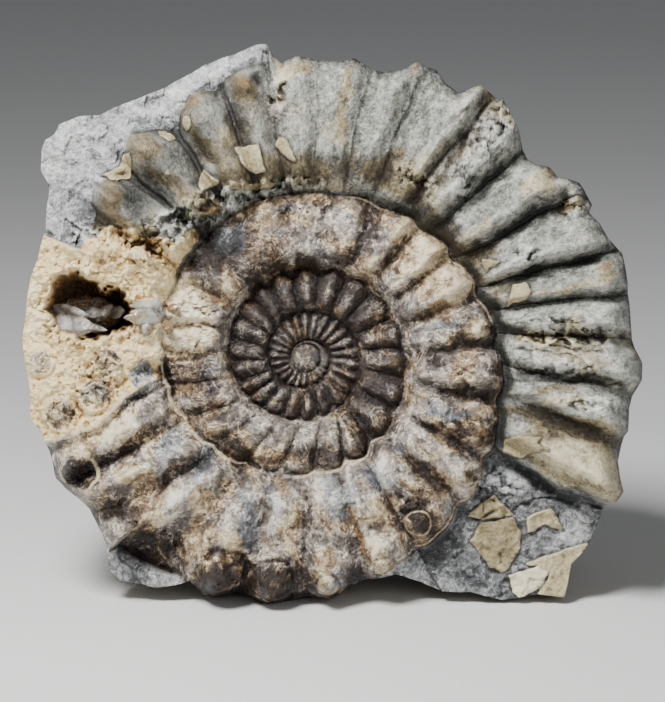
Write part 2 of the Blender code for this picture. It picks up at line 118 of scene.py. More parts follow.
FLANK_HEIGHT = (
    (-400, 21), (-300, 22), (-180, 20), (-60, 18), (0, 16.5), (180, 13.5), (360, 9.5), (540, 8),
    (720, 5.6), (900, 4.4), (1080, 3.4), (1400, 2.6),
)
EDGE_HEIGHT = (
    (-60, 12), (0, 13), (60, 14), (90, 13), (110, 12), (150, 12), (175, 10), (200, 9), (225, 8), (270, 7),
)
# The share of a whorl's width over which its flank rises from the inner edge, and the share at which it turns
# down to the outer one: on the outer whorl, on the others.
FLANK_RISE = 0.34
TURN_OVER = (0.78, 0.66)
SEAM_RIM_SIZE = ((-60, 1), (170, 1), (195, 1.5), (295, 1.5), (310, 1), (400, 0.6), (700, 0.4), (1100, 0.25))
CORE_RADIUS = 4.5
CORE_HEIGHT = 4.6

# Ribs: angle and strength, on the outer whorl and the next one in.
OUTER_RIBS = (
    (-35, 1.5), (-21.5, 1.5), (-10.5, 0.9), (-1.5, 1), (8, 0.8), (15, 0.9), (23.5, 1), (36, 1.1), (49, 1),
    (58.5, 0.8), (72, 0.5), (81, 0.3), (92, 0.5), (102, 0.9), (112.5, 1), (127, 1.3), (141, 1.3),
    (153, 0.5), (165, 0), (177, 0), (189, 0), (203.5, 1), (214, 1.1), (228, 1.2), (246.5, 0.9), (261, 0.8),
    (275.5, 0.9), (290, 0.9),
)
SECOND_RIBS = (
    (-56, 0.9), (-39, 1), (-25, 1), (-7, 1), (8.5, 1), (24.5, 1), (38, 1), (52.5, 1), (70, 0.7),
    (87, 0.35), (105, 0.35), (125, 0.3), (140, 0.5), (160, 1), (173, 0.5), (189, 0.45), (205, 0.5),
    (222, 0.45), (239, 0.42), (255, 0.42), (272, 0.48), (290, 0.6),
)
THIRD_RIBS = (
    -57, -43, -23, -3, 14, 34, 53, 71, 90, 108, 125, 141, 156, 175, 191, 207, 219, 236, 253, 270, 287,
)
FOURTH_RIBS_FROM = 668.0
FOURTH_RIB_STEP = 14.4
FOURTH_RIBS = 28
RIB_HEIGHT = ((-400, 5.2), (-60, 4), (-30, 3.5), (290, 3.2), (330, 2.7), (640, 2), (700, 1.5), (1080, 0.5))
RIB_KNOB = ((300, 0.5), (420, 0.15))  # how much higher a rib is near its outer end, as a share of its height
# Broad flat ribs have a low number here, and narrow ones a high one: coil angle, number.
RIB_SHARPNESS = (
    (-400, 1.1), (-300, 1.3), (-240, 0.8), (-160, 1), (-60, 0.9), (0, 1.1), (40, 1.3), (75, 1.1),
    (150, 0.9), (192, 0.6), (300, 0.55), (320, 0.8), (500, 0.9), (560, 1.3), (660, 1.2), (700, 1.4),
)
# Which side of a rib is steeper, from -1 (the side towards the shell's end) to 1: coil angle, number.
RIB_SKEW = (
    (-400, -0.8), (-300, -0.7), (-250, 0.2), (-160, 0.5), (-60, -0.9), (40, -0.7), (90, 0.2), (180, 0.8),
    (300, 0.5), (320, -0.5), (420, 0), (640, -0.4), (700, 0),
)
# How deep the sharp crease between two ribs is, as a share of the ribs' height: coil angle, share.
CREASE = (
    (-385, 0), (-370, 0), (-360, 0.2), (-240, 0.24), (-170, 0.12), (-60, 0.04), (40, 0.05), (110, 0.12),
    (140, 0.08), (300, 0.08), (330, 0.2),
)
RIB_SLANT = (
    (-400, -5), (-300, -2), (-235, 3), (-170, 4), (-157, 6), (-146, -8), (-132, -14), (-110, -2), (0, 0),
    (120, 4), (160, 8), (175, 2), (205, -8), (290, -8), (320, 0),
)
SEAM_WAVE = (
    (-60, 2.2), (30, 1.8), (60, 1.4), (120, 0.5), (190, 2.6), (300, 2.6), (330, 1), (480, 0.9), (560, 0.4),
    (660, 0.4), (720, 0.3),
)

# Lumps on the face, most of them broken spines: angle, radius, half width, height, depth of the broken top,
# depth of the crease round it.
LUMPS = (
    (248.6, 75.5, 8, 4.5, 0, 1.3), (261.6, 73.5, 7, 4, 0, 1.2), (275.5, 74, 3.8, 3.5, 0, 0.4),
    (290.5, 72.5, 3.6, 3.5, 0, 0.4), (304, 64.5, 5, 3, 0.8, 0), (206.7, 81.8, 7.6, 2.2, 2.6, 0.5),
    (181, 85.5, 5.4, 2.2, 1, 0.4), (193.3, 81.4, 6.5, 2.2, 0.7, 0.6), (190.9, 69.6, 5.5, 2.2, 0.6, 0.6),
    (184.5, 63.8, 5.5, 2, 0.6, 0.6), (103, 90.5, 5, 2.6, 0, 0), (112, 91, 5, 2.6, 0, 0),
    (127, 87, 7, 2.6, 0, 0), (141, 83, 7.5, 2.4, 0, 0), (68.5, 100, 4.5, 2.5, 0, 0),
    (31, 101.5, 4, 3.5, 0, 0), (-31.5, 79.5, 7.5, 3, 0, 0), (165.6, 54.8, 4.2, 3.2, 0, 0),
)
# The crease round a lump and the raised ring on a broken spine: radius and half width, as shares of the
# lump's own half width.
LUMP_CREASE = (1.08, 0.14)
SPINE_RING = (0.82, 0.11)
SPINE_RING_HEIGHT = 0.8
# Dents: u, v, half length, half width, turn, depth.
DENTS = ((-48, -61.5, 15, 7.5, -32, 8), (-50, -4.2, 5, 3, 0, 5), (76, -40.5, 13, 2.4, -32, 3))
# Cracks: depth, half width, and the line's points as u, v.
CRACKS = (
    (1.8, 0.6, ((54.2, -52.3), (65.5, -49), (76.5, -45.2), (82.6, -46.1), (95.2, -48.4))),
    (1.3, 0.5, ((65.2, 6.5), (70.5, 6.8), (75.5, 4.8), (81, 4.4), (86.8, 2.3), (94.8, 1.6))),
    (0.9, 0.4, ((66, 2), (72, 2.8), (78, 1.5), (84, 1), (90, -1.5))),
    (1.3, 0.5, ((62.6, -5.8), (71, -5.4), (80, -7.4), (90, -7.2), (101.3, -9))),
    (1.2, 0.5, ((78.7, 16.5), (84, 19), (90, 19.2), (96, 21.5), (102.5, 21))),
    (1, 0.5, ((31, 60), (38, 63), (44, 72), (52, 80))),
    (0.9, 0.4, ((66, 48), (74, 51), (82, 50), (90, 54))),
)
CRACK_OPEN = 0.55  # the share of a crack's depth that is open on average

MATRIX_HEIGHT = 6.0
MATRIX_BY_SHELL = 4.5  # how much higher the matrix is where it meets the shell
LOWER_MATRIX_HEIGHT = 9.0

CRUST_EDGE = ((46, 188), (54.8, 190), (60.3, 193), (70.3, 197.8), (84.5, 197.8), (95, 199))
CRUST_TOP = 154.0  # the angle round which it swells up
CRUST_TOP_V = 39.0  # how far up the face its colour goes
CRUST_HEIGHT = 17.0
CRUST_FALL = 6.0
CRUST_FALL_FROM = 76.0

VUG_MOUTH = (
    (-81.9, 23.5), (-78.7, 26.1), (-73.6, 27.4), (-70.3, 25.5), (-66.5, 22.6), (-60.6, 22.6), (-58.7, 20),
    (-55.2, 15.8), (-57.4, 12.9), (-56.1, 10), (-60.3, 7.7), (-65.2, 6.5), (-68.1, 5.2), (-73.6, 6.5),
    (-80, 7.4), (-82.6, 13.5), (-84.5, 15.5), (-83.9, 19),
)
VUG_FLOOR = -8.0
VUG_WALL = 4.2

# The rubble between the outer whorl's inner edge and the next whorl, at the top left: its line as u, v, and
# how wide it is by u.
RUBBLE = ((-51, 34.5), (-43, 40), (-34, 45), (-23, 51), (-9, 54.8), (5, 55.8))
RUBBLE_HALF_WIDTH = ((-50, 7), (-34, 6.5), (-20, 4.2), (5, 1.8))
# Where the surface is torn into chips: u, v, half length, half width, turn.
TORN = (
    (82, 8, 18, 5.5, 0), (78, -3, 16, 4, -4), (90, -15, 10, 3, -6), (61, 73, 7, 12, -38),
    (51, 57, 5, 7, -40), (35, 57.5, 7, 3.5, -30), (86, 48.5, 5, 4, 20), (-8.5, 84, 2.4, 8, -8),
    (70, 33, 4, 3, 20), (-27.6, -70.5, 7.5, 7, 0), (-10.6, -72.5, 7, 6, 0), (36, -50, 8, 4.6, -42),
    (-47, -56, 9, 5.5, -25), (51, -8, 6, 3, 0), (48, -23, 7, 4.5, -20), (-72.5, -36.5, 5, 4.4, 15),
    (1.5, 48, 8, 3.5, 0), (-46, -5, 4, 5, 0), (-38, 12, 8, 11, 0), (-66, 39, 13, 4.5, -4),
    (60, -42, 11, 6, -30), (-70, -10, 14, 9, 20),
)
# Scars of broken spines, where the crust is off: u, v, half length, half width, turn.
SCARS = (
    (-86, -1.6, 4.8, 4.7, 0), (-79.4, -18.6, 6.6, 5.6, 20), (-64, -1.5, 5.4, 5.2, 30),
    (-67.5, -11.6, 6, 5.2, 40), (-53.5, -5, 4, 6, -20),
)
# Pieces of the shell's own skin left on its infill: thickness, how light, and the outline as u, v.
FLAKES = (
    (1.2, 0.1, ((-22.9, 67.1), (-14.8, 68.1), (-14.2, 64.5), (-12.6, 59.7), (-16.1, 58.7), (-20, 61))),
    (1.1, 0, ((-9, 71), (-6, 69.7), (-3.2, 62.6), (-5.8, 63.5), (-9.7, 67.1))),
    (0.8, 0.05, ((-48.1, 72.9), (-45.2, 73.2), (-41.9, 70.3), (-43.9, 69.4), (-47.1, 71))),
    (0.8, 0, ((-39.7, 77.7), (-37.4, 77.1), (-36.8, 73.6), (-38.1, 72.3), (-40, 74.2))),
    (1.4, 0.05, ((-65.9, 58.8), (-60.5, 61.6), (-58.7, 65.6), (-56.4, 65.6), (-56, 61.5), (-56.3, 57.4),
        (-60.5, 56.8), (-63.2, 57.4))),
    (1.2, 0.05, ((-32.8, 60.8), (-30.5, 58), (-27.4, 56.1), (-30.5, 54.7), (-33.2, 53.3), (-34.8, 55.5))),
    (0.9, -0.15, ((-24.8, 56.5), (-20, 55.5), (-14, 56), (-9.4, 56.4), (-9.6, 54.8), (-16, 53.6),
        (-24, 54.2))),
    (0.8, -0.05, ((56.6, 31.3), (62.1, 30.6), (60.5, 29), (59, 28.5), (58, 26.4), (57, 29))),
    (1.1, 0, ((66.2, 23.1), (70.3, 24.1), (72.4, 21), (70.7, 18.3), (66.2, 16.9), (64.2, 15.5),
        (65.5, 20.3))),
    (1, -0.05, ((64, -26.5), (68.5, -25.2), (75.8, -25.4), (74, -27.5), (77.5, -29.6), (72.5, -30.2),
        (68.9, -32.6), (63.5, -31))),
    (0.9, -0.1, ((56.6, -53.5), (60.8, -52.9), (66.9, -52.2), (69.7, -56.3), (69, -61.8), (66.2, -67.2),
        (63.5, -70), (59.4, -67.9), (55.3, -62.5), (53.2, -59.7))),
    (1.2, 0.16, ((71.4, -52.2), (74.5, -50.1), (79.3, -48.7), (81.3, -52.2), (83.4, -56.3), (80.6, -55.6),
        (77.2, -53.9), (73.8, -56.3), (71.7, -57))),
    (1.1, 0.95, ((65.5, -70.6), (72.4, -68.6), (76.5, -66.9), (79.3, -67.9), (77.2, -72.7), (74.5, -75.4),
        (69, -78.2), (66.9, -76.1))),
    (1.1, 0.12, ((70.7, -67.2), (77.9, -64.2), (84.7, -61.8), (90.9, -60.1), (92.6, -61.8), (88.5, -67.2),
        (87.1, -71.4), (86.8, -78.5), (81.3, -78.5), (75.2, -76.5), (77.9, -72.5), (79.3, -68.2))),
    (1, 0, ((57.7, -52.8), (66.9, -51.1), (63.5, -47.4), (60.8, -44.6), (54.2, -49.4), (51.6, -51.6))),
)

# The calcite crystals: root and tip as u, v, w, half width, half thickness, turn about the long axis.
CRYSTALS = (
    ((-86.0, 11.2, 1.0), (-66.5, 9.2, 12.5), 4.2, 2.0, 12.0),
    ((-84.0, 15.0, -1.0), (-70.0, 13.6, 9.0), 3.2, 1.8, -20.0),
    ((-75.0, 15.5, -3.0), (-64.5, 13.6, 8.5), 2.4, 1.6, 30.0),
    ((-69.0, 12.0, -2.0), (-62.2, 16.8, 10.5), 2.6, 1.6, 60.0),
    ((-65.0, 14.0, -2.5), (-58.4, 15.0, 11.5), 2.3, 1.5, 10.0),
    ((-74.0, 10.0, -2.0), (-64.0, 8.6, 9.0), 2.2, 1.5, 70.0),
    ((-44.6, 13.4, 17.0), (-58.8, 12.6, 21.6), 3.4, 2.2, 25.0),
    ((-46.0, 16.0, 16.5), (-56.6, 16.6, 21.8), 2.6, 2.0, -25.0),
    ((-48.0, 13.0, 17.0), (-47.6, 19.4, 21.4), 2.0, 1.7, 20.0),
    ((-50.0, 12.0, 16.5), (-52.0, 6.6, 21.0), 2.3, 1.8, 35.0),
    ((-45.5, 11.5, 16.5), (-42.8, 7.6, 20.8), 2.0, 1.7, 50.0),
    ((-44.5, 15.0, 15.5), (-40.6, 16.4, 19.0), 1.8, 1.6, 10.0),
)
# The rings of corners along a crystal: part of the way to the tip, share of the half width.
CRYSTAL_RINGS = ((0.12, 0.72), (0.42, 1.0), (0.70, 0.80))
CRYSTAL_SIDES = 6
CRYSTAL_BEVEL = 0.12
# The crust that the crystals grow from: its middle and its half sizes.
BED_AT = (-71.0, 14.2, -4.6)
BED_SIZE = (10.5, 5.6, 2.6)

# Patches of tone on the face: u, v, half length, half width, turn, how light (dark below 0), how warm. A few
# of them paint shade and highlight, as marked.
PATCHES = (
    # the matrix and the lobes at the upper left
    (-50, 57, 12, 8, 30, -0.1, 0), (-38, 68, 30, 17, 40, -0.22, 0.1), (-22, 40, 26, 9, 38, -0.08, 0.1),
    (-84, 64, 6, 9, 0, 0.12, 0), (-72, 49, 7, 5, 0, -0.16, -0.2), (-40, 86.5, 20, 3.6, 30, 0.24, 0.1),
    (-63, 51, 4.5, 6, 0, -0.16, 0.9), (-54.5, 47.5, 3.6, 7, 15, -0.34, -0.5),
    (-49, 50.5, 6, 2.5, -40, 0.12, -0.2), (-53, 67.5, 6, 4.5, 30, -0.08, 0.8),
    (-45, 62, 7, 3.5, -45, 0.05, 0), (-43, 55, 8, 1.8, -30, -0.34, 0.8),
    (-31, 65.5, 8, 2.6, -52, -0.32, 0.6), (-31, 60.5, 3.5, 2, -45, 0.25, -0.4),
    (-38, 83, 6, 3, 30, -0.05, 1), (-27, 74, 7, 2, -60, 0.22, 0), (-20.5, 74, 7, 3.2, -65, -0.22, 0),
    (-20.5, 86, 6.5, 2.6, -60, -0.26, 0.9), (-16.5, 89, 2.2, 2.4, 0, -0.5, 0),
    (-9.5, 84, 2.4, 7, -8, 0.28, 0.3), (-8.5, 84, 1.2, 2.4, -8, -0.7, 0.3), (-6, 91, 3, 4, -10, 0.25, 0.8),
    (-1, 92.5, 3.5, 2.5, 0, 0, 1), (-22, 57.5, 12, 2.5, 4, -0.3, 0.3), (-31, 47.5, 4, 2.6, 30, -0.32, 1),
    (-43, 45, 5, 3, 35, 0.48, -0.4), (-48.5, 38, 2.6, 3.6, 0, -0.5, 0.1), (-36, 50, 4, 1.8, 25, 0.15, 0.2),
    # the grey whorl
    (3, 78, 4.5, 14, 0, 0.08, 0), (13, 84, 2, 13, -8, -0.06, 0.9), (27, 62, 2.2, 6, -22, -0.28, 0.9),
    # The first two here are painted shade on the outer whorl's inner wall, which faces down and in.
    (6, 61, 24, 5.5, 0, -0.34, 0.3), (30, 56, 14, 4, -28, -0.26, 0.3), (46, 62, 14, 1.9, 55, -0.42, 0.1),
    (58, 83, 5, 1.6, 55, -0.3, 0), (41, 68, 12, 2.2, 57, 0.12, 0), (60, 72, 9, 3, 58, 0.14, 0.1),
    (59, 56.5, 8, 2.4, 52, -0.5, 0.1), (69.5, 61.5, 3.5, 2.2, 20, 0.28, -0.3),
    (74, 56, 8, 2.8, 38, 0.16, 0.9), (56, 41, 6, 2.2, 40, 0.05, 0.6), (84, 49, 4, 2, 30, -0.38, 0.8),
    (87, 53.5, 2.6, 1.8, 0, 0.15, 0), (44, 41.5, 14, 2.8, -45, -0.62, 0.2),
    (69, 42.5, 10, 2.2, 33, -0.55, 0.1), (56.5, 33.5, 4.5, 3, 20, -0.48, 0.5),
    (73, 33, 13, 2.4, 28, 0.14, -0.1), (89, 30.5, 5, 2, 22, -0.45, -0.3),
    (70, 25, 12, 2.2, 20, -0.42, 0.1), (96.5, 28.5, 4, 3.2, 0, 0.02, 1),
    (83, 22.5, 12, 2.2, 12, 0.08, 0.6), (60.5, 17, 2, 3.2, -20, -0.65, 0.1),
    (89, 14.5, 12, 2.6, 6, 0.16, 0), (66, 9.5, 7, 1.8, -6, -0.48, 0.2), (88, 6.5, 12, 1.8, -8, -0.36, 0.1),
    (75, 5.2, 7, 1.2, -2, 0.22, 0.9), (76, -1, 14, 2.2, 0, 0.2, 0), (82, -6.4, 20, 1.5, -3, -0.4, 0),
    # (82, -14) is a painted highlight on a rib's upper slope; (80, -19.5) on the next line is painted shade
    # on its lower slope.
    (79, -10, 7, 1.8, 0, -0.1, 0.9), (82, -14, 16, 1.6, -4, 0.26, 0.4),
    (80, -19.5, 17, 1.6, -8, -0.18, 0.9), (65.5, -39.5, 5.5, 4, -20, 0.36, 0),
    # (78, -41.5) is a painted shadow under the last rib.
    (78, -41.5, 12, 1.5, -33, -0.15, 0), (86, -34, 18, 6, -26, 0.22, 1.9),
    (92, -41.5, 12, 1.8, -24, -0.2, 0.6), (86, -33, 12, 1.5, -30, 0.24, 0.6),
    (83.3, -22.6, 17, 3.6, -18, -0.4, 1), (60, -41, 5, 3.5, -20, 0.3, 0), (84, -56, 7, 5, 0, 0.28, 0),
    (41, -63.5, 11, 6, 40, -0.32, -0.1), (60, -73, 12, 4, -15, -0.2, 0), (76, -56.5, 7, 3, 15, -0.1, 0),
    (89, -51.5, 5, 4, 20, 0.08, 0),
    # the left crust
    (-74, 46, 9, 5, 0, -0.1, 0.8), (-62, 41.5, 14, 4, 0, -0.12, 0.7), (-72, 38, 5, 2.2, 0, 0.24, -0.4),
    (-66.5, 42.5, 5, 2, 10, -0.3, 0.6), (-60, 38.5, 3.5, 3.5, 0, 0.05, 0.8),
    (-52, 37, 3.5, 2.4, 0, 0.05, 0.9), (-63.5, 33, 5, 1.8, 10, -0.34, -0.2),
    (-45, 27, 4, 5, 0, -0.12, 0.4), (-88, 14, 3.5, 22, 0, 0.26, 0), (-86, -1.6, 4, 3.8, 0, -0.08, 0.6),
    (-79.4, -18.6, 5.4, 5, 20, -0.06, 0.5), (-63.5, -3, 4.8, 4.6, 30, -0.04, 0.3),
    (-67, -12.6, 5, 4.5, 40, -0.08, 0.3), (-53.5, -5, 3.6, 5.5, -20, 0.05, -0.5),
    (-81.5, -10.5, 5, 3, 0, 0.1, 0), (-72, 1.5, 6, 2.5, 0, 0.02, 0.7), (-47, -3.6, 3.4, 3, -30, -0.95, 0),
    (-44.5, -9, 2.5, 4, 10, -0.5, 0),
    # the ribs below the crust
    (34, -50, 13, 10, -45, -0.14, 0.1), (15.8, -70.5, 3, 4.5, 0, -0.5, 0),
    (-62, -22, 11, 4, 36, 0.22, 0.9), (-46, -38, 14, 8, 40, 0.08, 0.4),
    (-55, -70.5, 10, 4.5, -18, -0.24, -0.4), (-36, -58, 8, 3, 60, 0.12, 0.9),
    (-56, -13, 7, 2.4, 38, -0.05, -0.7), (-65.5, -18.5, 4, 2, 38, 0.16, 0.9),
    (-61.5, -25, 7, 1.8, 36, 0.22, -0.2), (-69.5, -27, 4.5, 2.4, 30, 0.12, 0.9),
    (-55.4, -27.5, 10, 1.9, 38, -0.42, 0.4), (-73.1, -36.8, 6.2, 5.4, 15, -0.66, 0),
    (-49.5, -27, 4.5, 2, 50, 0.2, 0.8), (-56.5, -37, 5.5, 2, 15, 0.1, 0.9),
    (-44.8, -31.5, 3.2, 7, -25, -0.04, -1), (-44, -38, 8, 1.9, 58, -0.55, 0.1),
    (-34.5, -34, 7, 4.4, 55, -0.08, -1), (-41.2, -43.5, 3.6, 3, 40, 0.24, -0.3),
    (-35, -47, 3, 6, -20, 0.08, 1), (-61, -48.5, 10, 3.4, -20, -0.42, 0.4),
    (-48, -51.5, 6, 1.6, 10, 0.08, 0.6), (-48, -58.5, 10, 4.6, -20, -0.36, 0.3),
    (-57.5, -64, 7, 4, -35, -0.24, -0.3), (-27.6, -70.5, 8.5, 7.5, 0, -1.02, 0.4),
    (-24.5, -61, 5.5, 2.2, 75, 0.24, 1), (-18.5, -52, 2.6, 9.5, 5, -0.08, -1),
    (-11, -48, 2, 9, 5, 0.14, -0.5), (-4, -55, 3, 8, 5, 0.14, 0.7), (-10.6, -72.5, 7.5, 6.5, 0, -0.9, 0.3),
    (0, -72, 4, 4, 0, -0.4, 0.2), (6, -66, 2.6, 6.5, 5, 0, 1), (10, -44, 5, 7, 20, 0.1, -0.6),
    (15, -70, 5, 3.5, 0, -0.42, -0.2), (16.7, -56, 9, 1.6, -62, -0.22, 1),
    (24.5, -38.5, 5.5, 4, -30, 0.2, -0.7), (23, -48.5, 3.5, 5, 20, 0.22, 0.7),
    (22.5, -60, 3.5, 2.2, -60, 0.26, 0.7), (36.5, -50.5, 8, 4.2, -42, -0.68, 0.5),
    (26, -68, 3, 3, 0, -0.1, 0.8), (44, -40, 4, 5, 20, -0.18, 0.7),
    # the next whorl in
    (41, 31, 12, 8, -50, 0.3, 1.2), (21, 46, 7, 4, -25, -0.18, 0.4), (50, 4, 7, 12, 0, -0.12, 0.5),
    (-40, 12, 9, 13, 0, 0.56, 1.2), (-26, -25, 9, 6, -45, -0.16, 0.2), (-32, -14, 7, 7, 0, -0.38, 0.2),
    (48, -22, 9, 10, 0, -0.22, 0.5), (-27, 34, 11, 7, 45, -0.22, -0.2), (-30, -34, 9, 12, 45, -0.05, 0),
    (-14, 48, 9, 2.2, 22, 0.16, 0.8), (1.5, 51, 6, 1.8, 0, 0.05, 1), (10, 44.5, 4, 4.5, 0, 0.16, -0.5),
    (-24.5, 39.5, 6, 4, 45, -0.08, -0.6), (-32.5, 30.5, 5, 4, 40, -0.34, 0.3),
    (-17.5, 25.5, 6, 3.6, 50, -0.5, 0.4), (-10.5, 33, 4, 4.5, 0, -0.34, 0.3),
    (-1.5, 29, 9, 3.2, 0, -0.55, 0.5), (14.5, 32, 5, 4, -30, -0.42, 0.3), (24.5, 39, 4, 4, 0, -0.1, 0),
    (32, 42, 2.4, 4.6, -30, 0.32, 0.5), (28, 29, 5, 2.6, -45, -0.3, 0.3),
    (40.5, 32, 4.5, 1.8, 50, -0.05, 1), (37, 37, 4, 2, 50, 0.2, 0.3), (49.5, 21, 6.5, 2.4, 26, 0.36, 0.9),
    (43, 15.5, 4.5, 1.7, 28, -0.14, 1), (45.5, 10.5, 6.5, 2, 12, 0.04, -0.9),
    (49, 6.5, 3.6, 1.9, 10, -0.36, 0.3), (56, 10, 3, 2.4, 40, 0.2, 0.7), (40, -0.8, 3.4, 2.2, 0, -0.44, 0),
    (51, 1, 6, 3, 0, 0.1, 0), (53, -12.2, 7, 1.3, -3, -0.36, 0.8), (44, -17, 8, 2.4, -8, 0.04, -0.8),
    (54.5, -24, 5.5, 2.4, -18, -0.3, 0.7), (44, -31, 7, 2, -32, 0.12, -0.2),
    (36.5, -37, 8, 1.8, -38, -0.34, 0.7), (-29, 18, 4.6, 2.2, 0, -0.36, 0.9),
    (-35, 13.4, 7.5, 1.3, -2, 0.3, 0.5), (-38, 20, 4, 4, 0, 0.14, 0.6), (-36, 8, 7, 3, 0, 0.08, 0.7),
    (-38, 0.6, 8, 1.4, 14, -0.6, 0.8), (-36.5, -3.6, 8, 3.2, 5, -0.34, 0.1),
    (-30.5, -5, 4, 2.8, 15, 0.12, -0.8), (-38.5, -9, 4, 1.8, 20, -0.22, 1),
    (-26.5, -15, 5, 3, 50, 0.12, 0.1), (-22.5, -29.5, 6.5, 2.6, -40, -0.65, 0.4),
    (-9, -32.5, 6, 2.4, -10, -0.36, 0.7), (4, -31.5, 9, 2.6, 2, -0.5, 0.4),
    (-13, -22.5, 3, 3, 0, 0.12, -0.3), (18, -27, 6, 3, 30, -0.34, 0.3),
)
WHORL_TONES = (0.0, -0.05, -0.40, -0.30, -0.18)
# Brown and orange stains: u, v, half length, half width, turn.
RUST = (
    (-20.5, 87.5, 2, 4, 20), (-36.5, 83, 4, 1.6, 30), (-31, 46.5, 4, 2, 30), (0, 92.5, 3, 1.6, 0),
    (34.5, 93, 1.6, 4, -20), (93, -3, 4, 1.6, 10), (-46, 17, 2, 4, 0), (8, -66, 1.6, 6, 8),
    (17.5, -57, 5, 1.2, -62), (43, 15.4, 3.6, 1.4, 28), (40.5, 32, 3.6, 1.3, 50), (-28.5, 18, 3, 1.4, 0),
    (-38, -9.5, 3, 1.2, 20), (3, 51.5, 2, 1.4, 0), (-37, -45, 1.6, 3, -20), (96, 29, 2.4, 1.6, 0),
    (56, -24, 2.6, 1.4, -20), (-9, -32, 3, 1.2, -10),
)


def eased_step(low, high, x):
    t = np.clip((x - low) / (high - low), 0.0, 1.0)
    return t * t * (3.0 - 2.0 * t)


def run_through(points, x):
    """The straight runs through these points, held at both ends."""
    xs, ys = zip(*points)
    return np.interp(x, xs, ys)


def run_round(points, angle):
    """The straight runs through points that go all round the face."""
    xs, ys = zip(*points)
    return np.interp(angle, xs, ys, period=360.0)


def smooth_run(points, x, span):
    return np.mean([run_through(points, x + span * step) for step in (-1, -0.5, 0, 0.5, 1)], axis=0)


def lattice_value(cell, seed):
    """A number from -1 to 1 for each cell of a lattice."""
    key = cell @ np.array((73856093, 19349663, 83492791)) + seed * 15485863
    key = (key ^ (key >> 13)) * 1274126177
    return ((key ^ (key >> 16)) & 0xFFFF) / 32767.5 - 1.0


def noise(points, size, seed):
    """Smooth noise between -1 and 1 on a lattice of this size."""
    place = points / size
    cell = np.floor(place).astype(np.int64)
    ease = place - cell
    ease = ease * ease * (3.0 - 2.0 * ease)
    total = np.zeros(len(points))
    for corner in np.ndindex(2, 2, 2):
        total += lattice_value(cell + corner, seed) * np.prod(np.where(corner, ease, 1.0 - ease), axis=1)
    return total


def layered_noise(points, size, seed, layers):
    total = 0.0
    for layer in range(layers):
        total = total + noise(points, size / 2.1**layer, seed + layer) / 1.9**layer
    return total


def chips(u, v, size, seed):
    """Flat chips in the plane, each with a height and a tilt of its own."""
    place = np.stack((u, v), axis=1) / size
    cell = np.floor(place).astype(np.int64)
    nearest = np.full(len(u), np.inf)
    height = np.zeros(len(u))
    for step in np.ndindex(3, 3):
        near = np.concatenate((cell + step - 1, np.zeros((len(u), 1), np.int64)), axis=1)
        slip = np.stack((lattice_value(near, seed), lattice_value(near, seed + 1)), axis=1)
        off = place - (near[:, :2] + 0.5 + 0.45 * slip)
        away = np.hypot(off[:, 0], off[:, 1])
        tilt = off[:, 0] * lattice_value(near, seed + 2) + off[:, 1] * lattice_value(near, seed + 3)
        closer = away < nearest
        height = np.where(closer, 0.5 * lattice_value(near, seed + 4) + tilt, height)
        nearest = np.where(closer, away, nearest)
    return height


def hump(x, power=2):
    """1 at 0, and next to nothing past 2 or so on either side."""
    return np.exp(-np.abs(x) ** power)


def distance_to_line(path, u, v):
    """How far each point is from a run of straight lines."""
    nearest = np.full(u.shape, np.inf)
    for (u0, v0), (u1, v1) in zip(path, path[1:]):
        du, dv = u1 - u0, v1 - v0
        t = np.clip(((u - u0) * du + (v - v0) * dv) / (du * du + dv * dv), 0.0, 1.0)
        nearest = np.minimum(nearest, np.hypot(u - u0 - t * du, v - v0 - t * dv))
    return nearest


def depth_inside(outline, u, v, margin=3.0):
    """How far each point is inside a closed outline, below 0 outside it, and -margin well away from it."""
    us, vs = zip(*outline)
    near = (u > min(us) - margin) & (u < max(us) + margin) & (v > min(vs) - margin) & (v < max(vs) + margin)
    found = np.full(u.shape, -margin)
    x, y = u[near], v[near]
    closed = outline + outline[:1]
    inside = np.zeros(x.shape, bool)
    for (u0, v0), (u1, v1) in zip(closed, closed[1:]):
        if v0 != v1:
            inside ^= ((v0 > y) != (v1 > y)) & (x < u0 + (y - v0) * (u1 - u0) / (v1 - v0))
    away = distance_to_line(closed, x, y)
    found[near] = np.where(inside, away, np.maximum(-away, -margin))
    return found


def oval(u, v, at_u, at_v, half_length, half_width, turn):
    """0 in the middle of an oval patch and 1 at its rim."""
    c, s = math.cos(math.radians(turn)), math.sin(math.radians(turn))
    x = ((u - at_u) * c + (v - at_v) * s) / half_length
    y = ((v - at_v) * c - (u - at_u) * s) / half_width
    return np.sqrt(x * x + y * y)


def spots(places, u, v, power):
    """1 in the middle of each of these ovals, and next to nothing outside them."""
    return np.max([hump(oval(u, v, *place), power) for place in places], axis=0)


def all_ribs():
    """Every rib's coil angle and strength, from the shell's end inwards."""
    ribs = [(angle - 360.0, strength) for angle, strength in OUTER_RIBS]
    ribs += SECOND_RIBS
    ribs += [(angle + 360.0, 1.0) for angle in THIRD_RIBS]
    ribs += [(FOURTH_RIBS_FROM + FOURTH_RIB_STEP * step, 1.0) for step in range(FOURTH_RIBS)]
    return ribs


def ridge(coil_angle, across):
    """1 on each rib's crest and 0 between two, the rib's strength, and 1 at the crease between two."""
    angles, strengths = zip(*all_ribs())
    on_rib = coil_angle - run_through(RIB_SLANT, coil_angle) * (across - 0.5)
    turns = np.interp(on_rib, angles, np.arange(len(angles)))
    turn = 2.0 * math.pi * turns
    crest = 0.5 + 0.5 * np.cos(turn + run_through(RIB_SKEW, coil_angle) * (1.0 - np.cos(turn)))
    crease = eased_step(0.06, 0.0, crest)
    crest = crest ** run_through(RIB_SHARPNESS, coil_angle)
    return crest, np.interp(on_rib, angles, strengths), crease


def seam(coil_angle):
    """The radius of the line where a whorl meets the next one out, which each rib's end pushes outwards."""
    crest, strength, _ = ridge(coil_angle, 1.0)
    return smooth_run(SEAM, coil_angle, 10.0) + run_through(SEAM_WAVE, coil_angle) * strength * (crest - 0.4)


